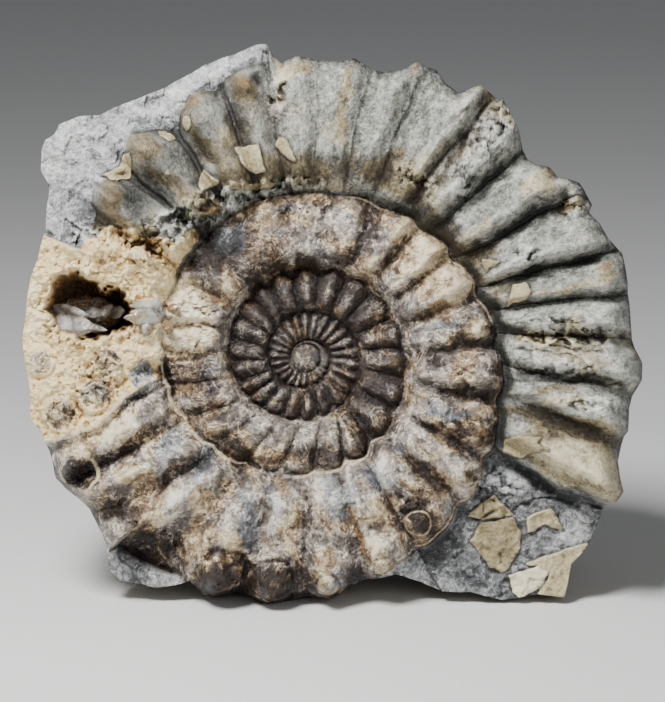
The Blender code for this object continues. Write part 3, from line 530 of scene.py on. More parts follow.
# The face's roughness, as layers of noise: size, seed, layers.
GRAINS = {"grain": (2.4, 21, 3), "fine": (0.9, 25, 2), "coarse": (6.5, 31, 3)}
# Flat chips: size, seed.
CHIP = (5.2, 41)
SMALL_CHIP = (2.1, 51)
# Stripes along the ribs: size, seed, share.
STRIPES = ((1.3, 35, 1.0), (0.7, 36, 0.6))
# How many millimetres each kind of roughness lifts each kind of stone.
RELIEF = {
    "matrix": {"grain": 0.36, "fine": 0.14, "chip": 0.7, "small_chip": 0.25},
    "crust": {"grain": 0.55, "fine": 0.28, "coarse": 0.6, "small_chip": 0.55},
    "grey": {"grain": 0.10, "fine": 0.07, "coarse": 0.20, "stripes": 0.20},
    "calcite": {
        "grain": 0.20, "fine": 0.12, "coarse": 0.30, "chip": 0.36, "small_chip": 0.18, "stripes": 0.16,
    },
    "rubble": {"coarse": 1.3, "chip": 2.3, "small_chip": 1.5},
    "torn": {"coarse": 0.4, "chip": 1.2, "small_chip": 0.7, "grain": 0.3},
}
WHORL_RELIEF = (1.0, 1.0, 0.7, 0.4)  # the share of it that the calcite of each whorl has, from the outer one
RIMMED_SEAMS = 4


class Face:
    """Every field of the face, at points given by angle and radius."""

    def __init__(self, angle, radius):
        self.angle, self.radius = angle, radius
        self.u = radius * np.cos(np.radians(angle))
        self.v = radius * np.sin(np.radians(angle))
        self.flat = np.stack((self.u, self.v, np.zeros(self.u.shape)), axis=1)
        self.find_whorls()
        self.find_zones()
        self.find_kinds()
        self.height = self.coil_height()
        self.add_zones()
        self.add_lumps()
        self.add_crust_rim()
        for *place, depth in DENTS:
            self.height -= depth * hump(oval(self.u, self.v, *place), 3)
        self.find_roughness()
        self.add_roughness()
        self.add_cracks()
        self.add_seam_rims()
        self.add_flakes()
        self.add_vug()
        self.find_tones()
        self.height += 1.1 * np.clip(self.tone, -0.7, 0.4) * (1.0 - self.vug)

    def noise(self, size, seed):
        return noise(self.flat, size, seed)

    def stripes(self, size, seed):
        """Noise drawn out along the ribs, this many millimetres across."""
        along = np.radians(self.coil_angle) * 60.0 / size
        return noise(np.stack((along, self.radius * 0.22 / size, np.zeros(along.shape)), axis=1), 1.0, seed)

    def find_whorls(self):
        """Which whorl each point is on, how far across it, and where that is among the ribs."""
        outer_edge = np.minimum(run_round(OUTLINE, self.angle), run_round(SHELL_EDGE, self.angle))
        seams = [seam(self.angle + 360.0 * turn) for turn in range(TURNS)]
        edges = [outer_edge, *seams, np.zeros(self.angle.shape)]
        self.whorl = sum((self.radius < edge).astype(int) for edge in seams)
        outside = np.choose(self.whorl, edges[:-1])
        inside = np.choose(self.whorl, edges[1:])
        self.coil_angle = self.angle + 360.0 * (self.whorl - 1)
        self.across = np.clip((self.radius - inside) / (outside - inside), 0.0, 1.0)
        offs = np.stack([self.radius - edge for edge in seams[:RIMMED_SEAMS]])
        nearest = np.argmin(np.abs(offs), axis=0)
        self.seam_off = np.take_along_axis(offs, nearest[None], axis=0)[0]
        self.seam_angle = self.angle + 360.0 * nearest
        self.from_first_seam = self.radius - seams[0]
        bend = (1.1 * self.noise(15.0, 15) + 0.5 * self.noise(5.0, 16)) * 60.0 / (self.radius + 30.0)
        bend *= np.where(self.whorl == 1, 2.0, 1.0)
        self.crest, self.strength, self.crease = ridge(self.coil_angle + bend, self.across)

    def find_zones(self):
        """Where the matrix, the crust, the rubble and the torn places are, from 0 to 1."""
        wander = 1.6 * self.noise(7.0, 11) + 0.8 * self.noise(2.6, 12)
        self.past_shell = self.radius - run_round(SHELL_EDGE, self.angle)
        self.upper_matrix = eased_step(-0.5, 1.5, self.past_shell)
        broken_end = self.angle + 1.3 * self.noise(9.0, 13) + 0.5 * self.noise(3.0, 14)
        self.lower_matrix = 1.0 - eased_step(SHELL_END - 1.0, SHELL_END + 0.4, broken_end)
        self.lower_matrix *= eased_step(-0.5, 1.5, self.from_first_seam)
        low_edge = run_through(CRUST_EDGE, self.radius)
        above_edge = 1.0 - eased_step(low_edge - 0.4, low_edge + 1.0, self.angle)
        above_edge *= eased_step(-1.0, 3.0, self.from_first_seam)
        self.crust_swell = eased_step(CRUST_TOP - 8.0, CRUST_TOP + 9.0, self.angle + wander) * above_edge
        self.crust = eased_step(CRUST_TOP_V + 4.0, CRUST_TOP_V - 4.0, self.v + 2.2 * wander) * above_edge
        self.crust *= self.u < 0.0
        for place in SCARS:
            self.crust *= 1.0 - 0.74 * hump(oval(self.u + 0.7 * wander, self.v - 0.5 * wander, *place), 4)
        from_rubble = distance_to_line(RUBBLE, self.u, self.v)
        self.rubble = hump(from_rubble / run_through(RUBBLE_HALF_WIDTH, self.u), 4)
        self.torn = spots(TORN, self.u + wander, self.v, 4)

    def find_kinds(self):
        """Shares of matrix, grey infill and calcite. The rest is crust."""
        self.matrix = np.clip(self.upper_matrix + self.lower_matrix, 0.0, 1.0)
        self.grey = (self.whorl == 0) * (1.0 - self.crust) * eased_step(168.0, 150.0, self.angle)
        self.grey = self.grey * (1.0 - self.matrix)
        self.calcite = np.clip(1.0 - self.matrix - self.grey - self.crust, 0.0, 1.0)

    def coil_height(self):
        """The shell's flank, whorl by whorl, with its ribs."""
        outer = self.whorl == 0
        flank = run_through(FLANK_HEIGHT, self.coil_angle)
        low_inside = run_through(SEAM_HEIGHT, self.coil_angle + 360.0)
        low_outside = run_through(SEAM_HEIGHT, self.coil_angle)
        low_outside = np.where(outer, run_round(EDGE_HEIGHT, self.angle), low_outside)
        t = self.across
        rise = 1.0 - (1.0 - np.clip(t / FLANK_RISE, 0.0, 1.0)) ** 2.4
        turn_over = np.where(outer, *TURN_OVER)
        fall = np.clip((t - turn_over) / (1.0 - turn_over), 0.0, 1.0) ** 2.2
        height = flank - (flank - low_inside) * (1.0 - rise) - (flank - low_outside) * fall
        window = np.where(outer, eased_step(-0.02, 0.12, t), eased_step(0.02, 0.24, t))
        window *= 1.0 - np.where(outer, 0.25, 0.75) * eased_step(0.88, 1.0, t)
        knob = run_through(RIB_KNOB, self.coil_angle) * self.crest**2 * hump((t - 0.82) / 0.12)
        self.rib_share = self.strength * window
        relief = self.crest - 0.45 + knob - run_through(CREASE, self.coil_angle) * self.crease
        height += run_through(RIB_HEIGHT, self.coil_angle) * self.rib_share * relief
        core = CORE_HEIGHT * np.sqrt(np.clip(1.0 - 0.7 * (self.radius / CORE_RADIUS) ** 2, 0.0, 1.0))
        return np.where(self.radius < CORE_RADIUS, core, height)

    def add_zones(self):
        """The matrix and the swollen crust, in place of the coil."""
        self.rough = self.noise(11.0, 1) + 0.5 * self.noise(5.0, 2)
        bank = MATRIX_BY_SHELL * eased_step(14.0, 0.0, self.past_shell)
        fall = CRUST_FALL * eased_step(CRUST_FALL_FROM, CRUST_FALL_FROM + 16.0, self.radius)
        self.height += (MATRIX_HEIGHT + bank + 0.8 * self.rough - self.height) * self.upper_matrix
        self.height += (LOWER_MATRIX_HEIGHT + 0.8 * self.rough - self.height) * self.lower_matrix
        self.height += (CRUST_HEIGHT + 1.2 * self.rough - fall - self.height) * self.crust_swell

    def add_lumps(self):
        """The lumps, with a raised ring on each broken spine."""
        self.rings = np.zeros(self.u.shape)
        wobble = self.noise(3.2, 5)
        ring_share = np.clip(0.7 + 0.4 * self.rough, 0.1, 1.0)
        crease_at, crease_width = LUMP_CREASE
        ring_at, ring_width = SPINE_RING
        for angle, radius, half_width, lump, broken, crease in LUMPS:
            at_u = radius * math.cos(math.radians(angle))
            at_v = radius * math.sin(math.radians(angle))
            off = np.hypot(self.u - at_u, self.v - at_v) / half_width
            roundness = 1.1 if crease else 1.7
            self.height += lump * np.clip(1.0 - off**2, 0.0, 1.0) ** roundness - broken * hump(off / 0.5)
            self.height -= crease * hump((off - crease_at - 0.15 * wobble) / crease_width)
            if broken:
                ring = hump((off - ring_at - 0.12 * wobble) / ring_width) * ring_share
                self.height += SPINE_RING_HEIGHT * ring
                self.rings = np.maximum(self.rings, 0.85 * ring)

    def add_crust_rim(self):
        """A raised rim along the crust's lower edge, with a groove below it."""
        past_edge = self.angle - run_through(CRUST_EDGE, self.radius)
        below = past_edge * np.radians(self.radius) + 0.6 * self.noise(3.2, 5)
        beside = eased_step(48.0, 54.0, self.radius)
        rim = hump(below / 1.1) * beside
        self.height += 1.6 * rim - 1.8 * hump((below - 3.0) / 1.6) * beside
        self.rings = np.maximum(self.rings, rim)

    def find_roughness(self):
        self.roughness = {name: layered_noise(self.flat, *settings) for name, settings in GRAINS.items()}
        coarse, grain = self.roughness["coarse"], self.roughness["grain"]
        self.roughness["stripes"] = sum(share * self.stripes(size, seed) for size, seed, share in STRIPES)
        self.roughness["chip"] = chips(self.u + 0.6 * coarse, self.v + 0.6 * grain, *CHIP)
        self.roughness["small_chip"] = chips(self.u + 0.3 * grain, self.v, *SMALL_CHIP)

    def add_roughness(self):
        """Grain, chips and stripes on each kind of stone, and the tones of chips that stand out."""
        torn = self.torn * (self.grey + 0.6 * self.calcite + 0.5 * self.crust + 0.7 * self.matrix)
        calm = np.choose(np.minimum(self.whorl, len(WHORL_RELIEF) - 1), WHORL_RELIEF)
        shares = {
            "matrix": self.matrix, "crust": self.crust, "grey": self.grey, "calcite": self.calcite * calm,
            "rubble": self.rubble, "torn": torn,
        }
        for kind, lifts in RELIEF.items():
            self.height += shares[kind] * sum(lift * self.roughness[name] for name, lift in lifts.items())
        chip_tone = 0.38 * self.roughness["chip"] + 0.34 * self.roughness["small_chip"]
        self.chip_tone = (self.rubble + torn) * chip_tone

    def add_cracks(self):
        self.cracks = np.zeros(self.u.shape)
        wander = 0.9 * self.noise(4.0, 61) + 0.5 * self.noise(1.6, 62)
        open_share = np.clip(CRACK_OPEN + 0.9 * self.noise(5.0, 63), 0.0, 1.0)
        for depth, half_width, path in CRACKS:
            away = distance_to_line(path, self.u + 0.3 * wander, self.v + wander)
            near = hump(away / half_width) * open_share
            self.height -= depth * near
            self.cracks = np.maximum(self.cracks, near)

    def add_seam_rims(self):
        """A thin raised rim of shell on one side of each seam, and a groove on the other."""
        side = np.where(self.seam_angle < 150.0, -1.0, np.where(self.seam_angle < 320.0, 1.0, -1.0))
        size = run_through(SEAM_RIM_SIZE, self.seam_angle)
        off = self.seam_off * side / size
        present = (1.0 - self.crust) * (1.0 - self.upper_matrix)
        present *= np.clip(0.7 + 0.6 * self.noise(7.5, 131), 0.25, 1.0)
        rim = hump((off - 0.5 + 0.12 * self.roughness["grain"]) / 0.42) * present
        groove = hump((off + 0.45) / 0.42) * present
        self.height += size * (0.6 * rim - 0.35 * groove)
        # Seam rims keep the shell's cream edge; the extra paleness by seam angle here is a painted highlight
        # where the walls face the light.
        seam_highlight = eased_step(140.0, 180.0, self.seam_angle) * eased_step(330.0, 300.0, self.seam_angle)
        seam_highlight += 0.75 * eased_step(120.0, 90.0, self.seam_angle)
        self.rim = np.maximum(rim, self.rings)
        self.pale_rim_and_highlight = np.maximum(seam_highlight, np.minimum(2.0 * self.rings, 1.0))

    def add_flakes(self):
        self.flake = np.full(self.u.shape, -3.0)
        self.flake_tone = np.zeros(self.u.shape)
        ragged = 0.35 * self.noise(1.8, 71)
        for thickness, lightness, outline in FLAKES:
            inside = depth_inside(outline, self.u, self.v) + ragged
            self.height += 1.2 * thickness * eased_step(-0.15, 0.25, inside)
            self.flake_tone = np.where(inside > self.flake, lightness, self.flake_tone)
            self.flake = np.maximum(self.flake, inside)

    def add_vug(self):
        grain, small_chip = self.roughness["grain"], self.roughness["small_chip"]
        jagged = self.noise(2.6, 81) + 0.7 * self.noise(1.1, 82)
        inside = depth_inside(VUG_MOUTH, self.u, self.v, 6.0) + 0.9 + jagged
        self.height += hump((inside + 1.2) / 1.6) * (1.3 * small_chip + 0.8 * grain)
        floor = VUG_FLOOR + 1.5 * small_chip + grain
        self.height += (floor - self.height) * eased_step(0.0, VUG_WALL, inside)
        self.vug = eased_step(0.4, 2.8, inside)

    def find_tones(self):
        """How light, warm, even and rusty the stone is."""
        self.tone = np.choose(np.minimum(self.whorl, len(WHORL_TONES) - 1), WHORL_TONES)
        lobes = eased_step(92.0, 102.0, self.angle) * eased_step(160.0, 150.0, self.angle)
        lobes *= self.whorl == 0
        inwards = eased_step(0.2, 2.8, self.whorl.astype(float))
        self.calm = np.maximum(0.4 * lobes * (1.0 - self.rubble), 0.5 * inwards)
        self.warm = np.zeros(self.u.shape)
        u = self.u + 1.5 * self.noise(6.0, 91) + 0.9 * self.noise(2.2, 93)
        v = self.v + 1.5 * self.noise(6.0, 92) + 0.9 * self.noise(2.2, 94)
        for *place, tone, warm in PATCHES:
            near = hump(oval(u, v, *place), 3)
            self.tone += tone * near
            self.warm += warm * near
        self.calm = np.maximum(self.calm, 0.6 * np.clip(-self.warm, 0.0, 1.0))
        # A band of painted shadow just outside the outermost seam, on the right.
        painted_seam_shadow = hump((self.from_first_seam - 1.2) / 1.6)
        painted_seam_shadow *= eased_step(-30.0, -22.0, self.angle) * eased_step(75.0, 50.0, self.angle)
        self.tone += self.chip_tone - 0.24 * self.lower_matrix - 0.60 * painted_seam_shadow
        self.rust = spots(RUST, u, v, 3)


def back_outline(angle):
    """A plainer outline behind the ribs' ends, which nowhere passes the face's own."""
    tightest = [
        np.min([run_round(OUTLINE, angle + middle + turn) for turn in (-5, -2.5, 0, 2.5, 5)], axis=0)
        for middle in (-3, 0, 3)
    ]
    return np.mean(tightest, axis=0) - BACK_INSET


# The stone's side and back, from the face's edge to the middle of the back: the part of the way, the radius
# as a share of the outline's, and the depth as a share of the whole.
SIDE_AND_BACK = (
    (0.0, 1.0, 0.0), (0.14, 1.0, 0.25), (0.28, 0.995, 0.6), (0.38, 0.965, 0.86), (0.48, 0.88, 0.96),
    (0.7, 0.5, 1.0), (1.0, 0.0, 1.0),
)
BACK_FROM = 0.48
SIDE_RINGS = CELLS // 10
BACK_RINGS = CELLS // 13
# The rings that have half the points of the ring before.
HALVING = (0, SIDE_RINGS, SIDE_RINGS + BACK_RINGS // 2, SIDE_RINGS + BACK_RINGS * 5 // 6)
CAP_SHARE = 0.91  # how far out the hidden closing faces go, as a share of the back's outline
# The broken surface of the side and back: height, size, seed, and how many layers.
BACK_ROUGH = ((2.2, 24.0, 3), (1.1, 9.0, 4))
BACK_FINE = ((0.5, 4.0, 101, 3), (0.35, 1.7, 111, 2))


def side_points(angle, front, behind):
    """One ring of the side and back, this part of the way from the face's edge to the back's middle."""
    span = min(0.02, behind)
    share = smooth_run([row[:2] for row in SIDE_AND_BACK], behind, span)
    depth = smooth_run([(row[0], row[2]) for row in SIDE_AND_BACK], behind, span)
    edge = run_round(OUTLINE, angle)
    radius = share * (edge + (back_outline(angle) - edge) * eased_step(0.05, 0.85, depth))
    u = radius * np.cos(np.radians(angle))
    v = radius * np.sin(np.radians(angle))
    w = front + (BACK_W + BACK_SLOPE * v - front) * depth
    points = np.stack((u, v, w), axis=1)
    rough = sum(height * noise(points, *settings) for height, *settings in BACK_ROUGH)
    rough *= eased_step(0.02, 0.3, depth)
    fine = sum(height * layered_noise(points, *settings) for height, *settings in BACK_FINE)
    fine *= eased_step(0.0, 0.08, depth)
    on_side = depth < 0.97
    points[:, 2] += rough + fine * (0.2 if on_side else 1.0)
    points[:, :2] *= (1.0 - 0.012 * (np.abs(rough) * on_side + np.abs(fine)))[:, None]
    return points


def side_steps():
    """Parts of the way round the side and back at which there is a ring of points."""
    side = np.arange(1, SIDE_RINGS + 1) * (BACK_FROM / SIDE_RINGS)
    back = BACK_FROM + np.arange(1, BACK_RINGS) * ((1.0 - BACK_FROM) / BACK_RINGS)
    return np.concatenate((side, back)).tolist()


def to_world(points):
    """From the face's frame, in millimetres, to the part's own, in metres, no lower than the floor."""
    u, v, w = points.T
    x = u - CENTRE_X
    y = (v - FLOOR_V) * math.sin(LEAN) - w * math.cos(LEAN) - CENTRE_Y
    z = (v - FLOOR_V) * math.cos(LEAN) + w * math.sin(LEAN)
    return np.stack((x, y, np.maximum(z, 0.0)), axis=1) * MM


def held_in(height, v):
    """The same heights, flattened softly where they would pass the front or the top of the part's box."""
    (_, front, _), (_, _, top) = CAD_BOX
    front_limit = ((v - FLOOR_V) * math.sin(LEAN) - CENTRE_Y - front / MM) / math.cos(LEAN)
    top_limit = (top / MM - (v - FLOOR_V) * math.cos(LEAN)) / math.sin(LEAN)
    limit = np.minimum(front_limit, top_limit) - BOX_MARGIN
    over = np.maximum(height - limit + BOX_EASE, 0.0)
    return np.where(over > 0.0, limit - BOX_EASE * np.exp(-over / BOX_EASE), height)


def crowded_line(middle, half_width):
    """Places from -1 to 1 that lie closer together round the middle given."""
    fine = np.linspace(-1.0, 1.0, 4001)
    density = 1.0 + 1.1 * hump((fine - middle) / half_width)
    total = np.concatenate(([0.0], np.cumsum(0.5 * (density[1:] + density[:-1]))))
    return np.interp(np.linspace(0.0, total[-1], CELLS + 1), total, fine)


def face_grid():
    """Angles and shares of the outline's radius for a square grid drawn out to a round one."""
    a, b = np.meshgrid(crowded_line(-0.78, 0.2), crowded_line(0.2, 0.2), indexing="ij")
    wide = np.abs(a) >= np.abs(b)
    long_side = np.where(wide, a, b)
    short_side = np.where(wide, b, a)
    turn = 45.0 * short_side / np.where(long_side == 0.0, 1.0, long_side)
    angle = np.where(wide, turn, 90.0 - turn) + np.where(long_side < 0.0, 180.0, 0.0)
    angle = FIRST_ANGLE + np.mod(angle - FIRST_ANGLE, 360.0)
    return angle.ravel(), np.abs(long_side).ravel()


def blurred(grid, reach):
    """The mean over a square of this many cells each way."""
    for axis in (0, 1):
        margins = [(reach + 1, reach) if side == axis else (0, 0) for side in (0, 1)]
        padded = np.pad(grid, margins, mode="edge")
        total = np.cumsum(padded, axis=axis)
        size = grid.shape[axis]
        high = np.take(total, np.arange(size) + 2 * reach + 1, axis=axis)
        low = np.take(total, np.arange(size), axis=axis)
        grid = (high - low) / (2 * reach + 1)
    return grid


def vertex_normals(points, quads):
    corners = points[quads]
    across = np.cross(corners[:, 2] - corners[:, 0], corners[:, 3] - corners[:, 1])
    normals = np.zeros(points.shape)
    for corner in range(4):
        for axis in range(3):
            normals[:, axis] += np.bincount(quads[:, corner], across[:, axis], len(points))
    return normals / np.maximum(np.linalg.norm(normals, axis=1), 1e-12)[:, None]


def grid_index(i, j):
    return np.asarray(i) * (CELLS + 1) + j


def block_quads(i0, i1, j0, j1):
    i, j = np.meshgrid(np.arange(i0, i1), np.arange(j0, j1), indexing="ij")
    corners = (grid_index(i, j), grid_index(i + 1, j), grid_index(i + 1, j + 1), grid_index(i, j + 1))
    return np.stack([corner.ravel() for corner in corners], axis=1)


def block_loop(i0, i1, j0, j1):
    """The points round a block of the grid, anticlockwise."""
    low, right = grid_index(np.arange(i0, i1), j0), grid_index(i1, np.arange(j0, j1))
    high, left = grid_index(np.arange(i1, i0, -1), j1), grid_index(i0, np.arange(j1, j0, -1))
    return np.concatenate((low, right, high, left))


def add_mesh(name, points, faces, normals, fields, material):
    mesh = bpy.data.meshes.new(name)
    mesh.from_pydata(points.tolist(), [], faces)
    mesh.polygons.foreach_set("use_smooth", np.ones(len(faces), bool))
    mesh.normals_split_custom_set_from_vertices(normals.tolist())
    for field, values in fields.items():
        attribute = mesh.attributes.new(field, "FLOAT", "POINT")
        attribute.data.foreach_set("value", values.astype(np.float32))
    mesh.materials.append(material)
    piece = bpy.data.objects.new(name, mesh)
    bpy.context.scene.collection.objects.link(piece)
    return piece


class Stone:
    """The whole surface as one set of points and quads, from which each piece takes its own part."""

    def __init__(self):
        angle, share = face_grid()
        face = Face(angle, share * run_round(OUTLINE, angle))
        face.height = held_in(face.height, face.v)
        flat = np.stack((face.u, face.v, face.height), axis=1)
        self.rim = block_loop(0, CELLS, 0, CELLS)
        side, self.side_quads = side_rings(angle[self.rim], face.height[self.rim], self.rim, len(flat))
        self.points = np.clip(to_world(np.concatenate((flat, side))), *CAD_BOX)
        front_quads = block_quads(0, CELLS, 0, CELLS)
        self.normals = vertex_normals(self.points, np.concatenate((front_quads, self.side_quads)))
        closing = np.stack((face.u, face.v, np.full(face.u.shape, CAP_W)), axis=1)
        inside = CAP_SHARE * back_outline(angle) / run_round(OUTLINE, angle)
        closing[:, :2] *= (1.0 - (1.0 - inside) * share**8)[:, None]
        self.closing = to_world(closing)
        self.fields = {field: np.pad(values, (0, len(side))) for field, values in face_fields(face).items()}
        self.fields["behind"][len(flat):] = 1.0

    def piece(self, name, quads, loop, faces_out, material):
        """A closed piece: a patch of the surface, walls down from its border and a flat face behind them."""
        used, index = np.unique(quads, return_inverse=True)
        place = np.full(len(self.points), -1)
        place[used] = np.arange(len(used))
        faces = [tuple(dict.fromkeys(quad)) for quad in index.reshape(quads.shape).tolist()]
        top = place[loop].tolist()
        count = len(used)
        under = list(range(count, count + len(loop)))
        for step in range(len(loop)):
            step_on = (step + 1) % len(loop)
            wall = (top[step], under[step], under[step_on], top[step_on])
            faces.append(wall if faces_out else wall[::-1])
        faces.append(tuple(under[::-1] if faces_out else under))
        points = np.concatenate((self.points[used], self.closing[loop]))
        normals = np.concatenate((self.normals[used], np.zeros((len(loop), 3))))
        fields = {field: np.pad(values[used], (0, len(loop))) for field, values in self.fields.items()}
        return add_mesh(name, points, faces, normals, fields, material)


def side_rings(angle, front, rim, first):
    """Rings of points over the side and back, and the quads that join them."""
    points, quads = [], []
    ring = rim
    count = first
    for step, behind in enumerate(side_steps()):
        halve = step in HALVING
        angle_now = angle[::2] if halve else angle
        front_now = front[::2] if halve else front
        new = np.arange(count, count + len(angle_now))
        points.append(side_points(angle_now, front_now, behind))
        if halve:
            outer = np.stack((ring[::2], ring[1::2], np.roll(ring[::2], -1)), axis=1)
            following = np.roll(new, -1)
            quads.append(np.stack((outer[:, 0], new, outer[:, 1], outer[:, 1]), axis=1))
            quads.append(np.stack((outer[:, 1], new, following, following), axis=1))
            quads.append(np.stack((outer[:, 1], following, outer[:, 2], outer[:, 2]), axis=1))
        else:
            quads.append(np.stack((ring, new, np.roll(new, -1), np.roll(ring, -1)), axis=1))
        ring, angle, front = new, angle_now, front_now
        count += len(new)
    points.append(np.mean(points[-1], axis=0)[None])
    tip = np.full(ring.shape, count)
    quads.append(np.stack((ring, tip, np.roll(ring, -1), np.roll(ring, -1)), axis=1))
    return np.concatenate(points), np.concatenate(quads)


# What the material reads at each point of the face, as Face names it.
FIELDS = (
    "grey", "crust", "matrix", "flake", "flake_tone", "rim", "pale_rim_and_highlight", "tone", "warm", "calm", "rust",
    "vug", "cracks",
)
# Painted shade in hollows, found from the mean height round each point: its reach in cells of the full grid,
# and the depth in millimetres that counts as 1.
HOLLOW_SHADES = {"fine_hollow_shade": (3, 0.35), "hollow_shade": (10, 1.3), "wide_hollow_shade": (32, 4.0)}


def face_fields(face):
    """Every field that the material reads."""
    fields = {field: getattr(face, field) for field in FIELDS}
    # Lighter on each rib's crest and darker between ribs: a painted highlight and painted shade.
    fields["crest"] = (face.crest - 0.4) * np.clip(face.rib_share, 0.0, 1.0)
    fields["along"] = np.radians(face.coil_angle) * 60.0
    fields["outwards"] = face.radius
    fields["behind"] = np.zeros(face.u.shape)
    grid = face.height.reshape(CELLS + 1, CELLS + 1)
    # The painted shade in hollows is kept fainter next to the seams.
    off_seam = 1.0 - 0.6 * hump(face.seam_off / (0.8 + 0.06 * face.radius))
    for field, (reach, depth) in HOLLOW_SHADES.items():
        below = blurred(grid, max(1, round(reach * CELLS / FULL_CELLS))) - grid
        fields[field] = np.clip(below.ravel() / depth, -0.5, 1.4) * off_seam
    return fields


class Nodes:
    """Writes a material's nodes; each call gives back the socket that it makes."""

    def __init__(self, name):
        self.material = bpy.data.materials.new(name)
        self.material.use_nodes = True
        self.tree = self.material.node_tree
        self.shader = self.tree.nodes["Principled BSDF"]
        self.place = self.add("ShaderNodeTexCoord").outputs["Object"]

    def add(self, kind, inputs=(), **settings):
        node = self.tree.nodes.new(kind)
        for name, value in settings.items():
            setattr(node, name, value)
        for socket, value in inputs:
            self.feed(node.inputs[socket], value)
        return node

    def feed(self, socket, value):
        if isinstance(value, bpy.types.NodeSocket):
            self.tree.links.new(value, socket)
        elif isinstance(value, tuple) and len(value) == 3 and socket.type == "RGBA":
            socket.default_value = (*value, 1.0)
        else:
            socket.default_value = value

    def field(self, name):
        return self.add("ShaderNodeAttribute", attribute_name=name).outputs["Fac"]

    def noise(self, size, detail=3.0, roughness=0.55, distortion=0.0, place=None):
        """Noise round 0.5 whose largest features are about this many millimetres."""
        inputs = [("Vector", place or self.place), ("Scale", 1.0 / (size * MM)), ("Detail", detail)]
        inputs += [("Roughness", roughness), ("Distortion", distortion)]
        return self.add("ShaderNodeTexNoise", inputs).outputs["Fac"]

    def shards(self, size):
        """A plain value from 0 to 1 for each of many ragged cells of about this many millimetres."""
        scale = 1.0 / (size * MM)
        bend = self.add("ShaderNodeTexNoise", [("Vector", self.place), ("Scale", scale), ("Detail", 4.0)])
        inputs = [(0, bend.outputs["Color"]), (1, (1.6 * size * MM,) * 3), (2, self.place)]
        bent = self.add("ShaderNodeVectorMath", inputs, operation="MULTIPLY_ADD").outputs[0]
        return self.add("ShaderNodeTexVoronoi", [("Vector", bent), ("Scale", scale)]).outputs["Color"]

    def math(self, operation, *values):
        return self.add("ShaderNodeMath", enumerate(values), operation=operation).outputs[0]

    def total(self, start, *terms):
        """start plus each weight times its socket."""
        for weight, socket in terms:
            start = self.math("MULTIPLY_ADD", socket, weight, start)
        return start

    def mixed(self, kind, patterns):
        """The sum of the patterns that make this kind of stone's tone."""
        start, weights = TONE_MIX[kind]
        return self.total(start, *((weight, patterns[name]) for name, weight in weights.items()))

    def lines(self, *settings):
        """0 along the winding lines where a noise is at its middle value, and more away from them."""
        return self.math("ABSOLUTE", self.total(-0.5, (1.0, self.noise(*settings))))

    def span(self, value, low, high, to_low=0.0, to_high=1.0):
        inputs = enumerate((value, low, high, to_low, to_high))
        return self.add("ShaderNodeMapRange", inputs, interpolation_type="SMOOTHSTEP").outputs[0]

    def ramp(self, factor, *stops):
        node = self.add("ShaderNodeValToRGB", [(0, factor)])
        points = node.color_ramp.elements
        while len(points) < len(stops):
            points.new(0.5)
        for point, (place, colour) in zip(points, stops):
            point.position = place
            point.color = (*colour, 1.0)
        return node.outputs["Color"]

    def mix(self, share, first, second):
        return self.add("ShaderNodeMix", [(0, share), (6, first), (7, second)], data_type="RGBA").outputs[2]

    def blend(self, share, first, second):
        """The same for plain numbers."""
        return self.add("ShaderNodeMix", [(0, share), (2, first), (3, second)], data_type="FLOAT").outputs[0]

    def finish(self, colour, roughness, bump, depth):
        normal = self.add("ShaderNodeBump", [("Height", bump), ("Distance", depth * MM), ("Strength", 1.0)])
        self.feed(self.shader.inputs["Base Color"], colour)
        self.feed(self.shader.inputs["Roughness"], roughness)
        self.feed(self.shader.inputs["Normal"], normal.outputs[0])
        return self.material


GREY_TONES = (
    (0.0, (0.026, 0.026, 0.022)), (0.28, (0.118, 0.119, 0.102)), (0.48, (0.275, 0.278, 0.242)),
    (0.66, (0.44, 0.445, 0.395)), (0.85, (0.65, 0.65, 0.59)), (1.0, (0.87, 0.87, 0.82)),
)
OLIVE_TONES = (
    (0.0, (0.033, 0.024, 0.012)), (0.3, (0.14, 0.11, 0.058)), (0.5, (0.30, 0.25, 0.15)),
    (0.7, (0.49, 0.43, 0.27)), (1.0, (0.78, 0.70, 0.48)),
)
MATRIX_TONES = (
    (0.0, (0.06, 0.062, 0.065)), (0.3, (0.26, 0.265, 0.268)), (0.5, (0.46, 0.466, 0.464)),
    (0.72, (0.66, 0.663, 0.645)), (1.0, (0.90, 0.89, 0.83)),
)
CRUST_TONES = (
    (0.0, (0.085, 0.045, 0.018)), (0.24, (0.33, 0.20, 0.09)), (0.42, (0.62, 0.435, 0.215)),
    (0.60, (0.93, 0.69, 0.33)), (1.0, (1.0, 0.88, 0.54)),
)
CALCITE_TONES = (
    (0.0, (0.018, 0.012, 0.009)), (0.24, (0.075, 0.058, 0.048)), (0.42, (0.18, 0.152, 0.132)),
    (0.56, (0.32, 0.282, 0.24)), (0.72, (0.52, 0.465, 0.375)), (0.88, (0.77, 0.70, 0.55)),
    (1.0, (0.93, 0.87, 0.73)),
)
WARM_TONES = (
    (0.0, (0.022, 0.012, 0.006)), (0.24, (0.10, 0.062, 0.034)), (0.42, (0.25, 0.175, 0.10)),
    (0.56, (0.44, 0.335, 0.195)), (0.72, (0.69, 0.56, 0.345)), (1.0, (0.95, 0.85, 0.62)),
)
COOL_TONES = (
    (0.0, (0.020, 0.019, 0.020)), (0.3, (0.10, 0.102, 0.106)), (0.5, (0.23, 0.234, 0.236)),
    (0.72, (0.42, 0.425, 0.415)), (1.0, (0.82, 0.81, 0.77)),
)
FLAKE_TONES = (
    (0.0, (0.18, 0.14, 0.07)), (0.35, (0.38, 0.315, 0.175)), (0.6, (0.57, 0.485, 0.29)),
    (1.0, (0.93, 0.85, 0.60)),
)
RUST_TONES = ((0.3, (0.11, 0.05, 0.018)), (0.7, (0.44, 0.27, 0.11)))
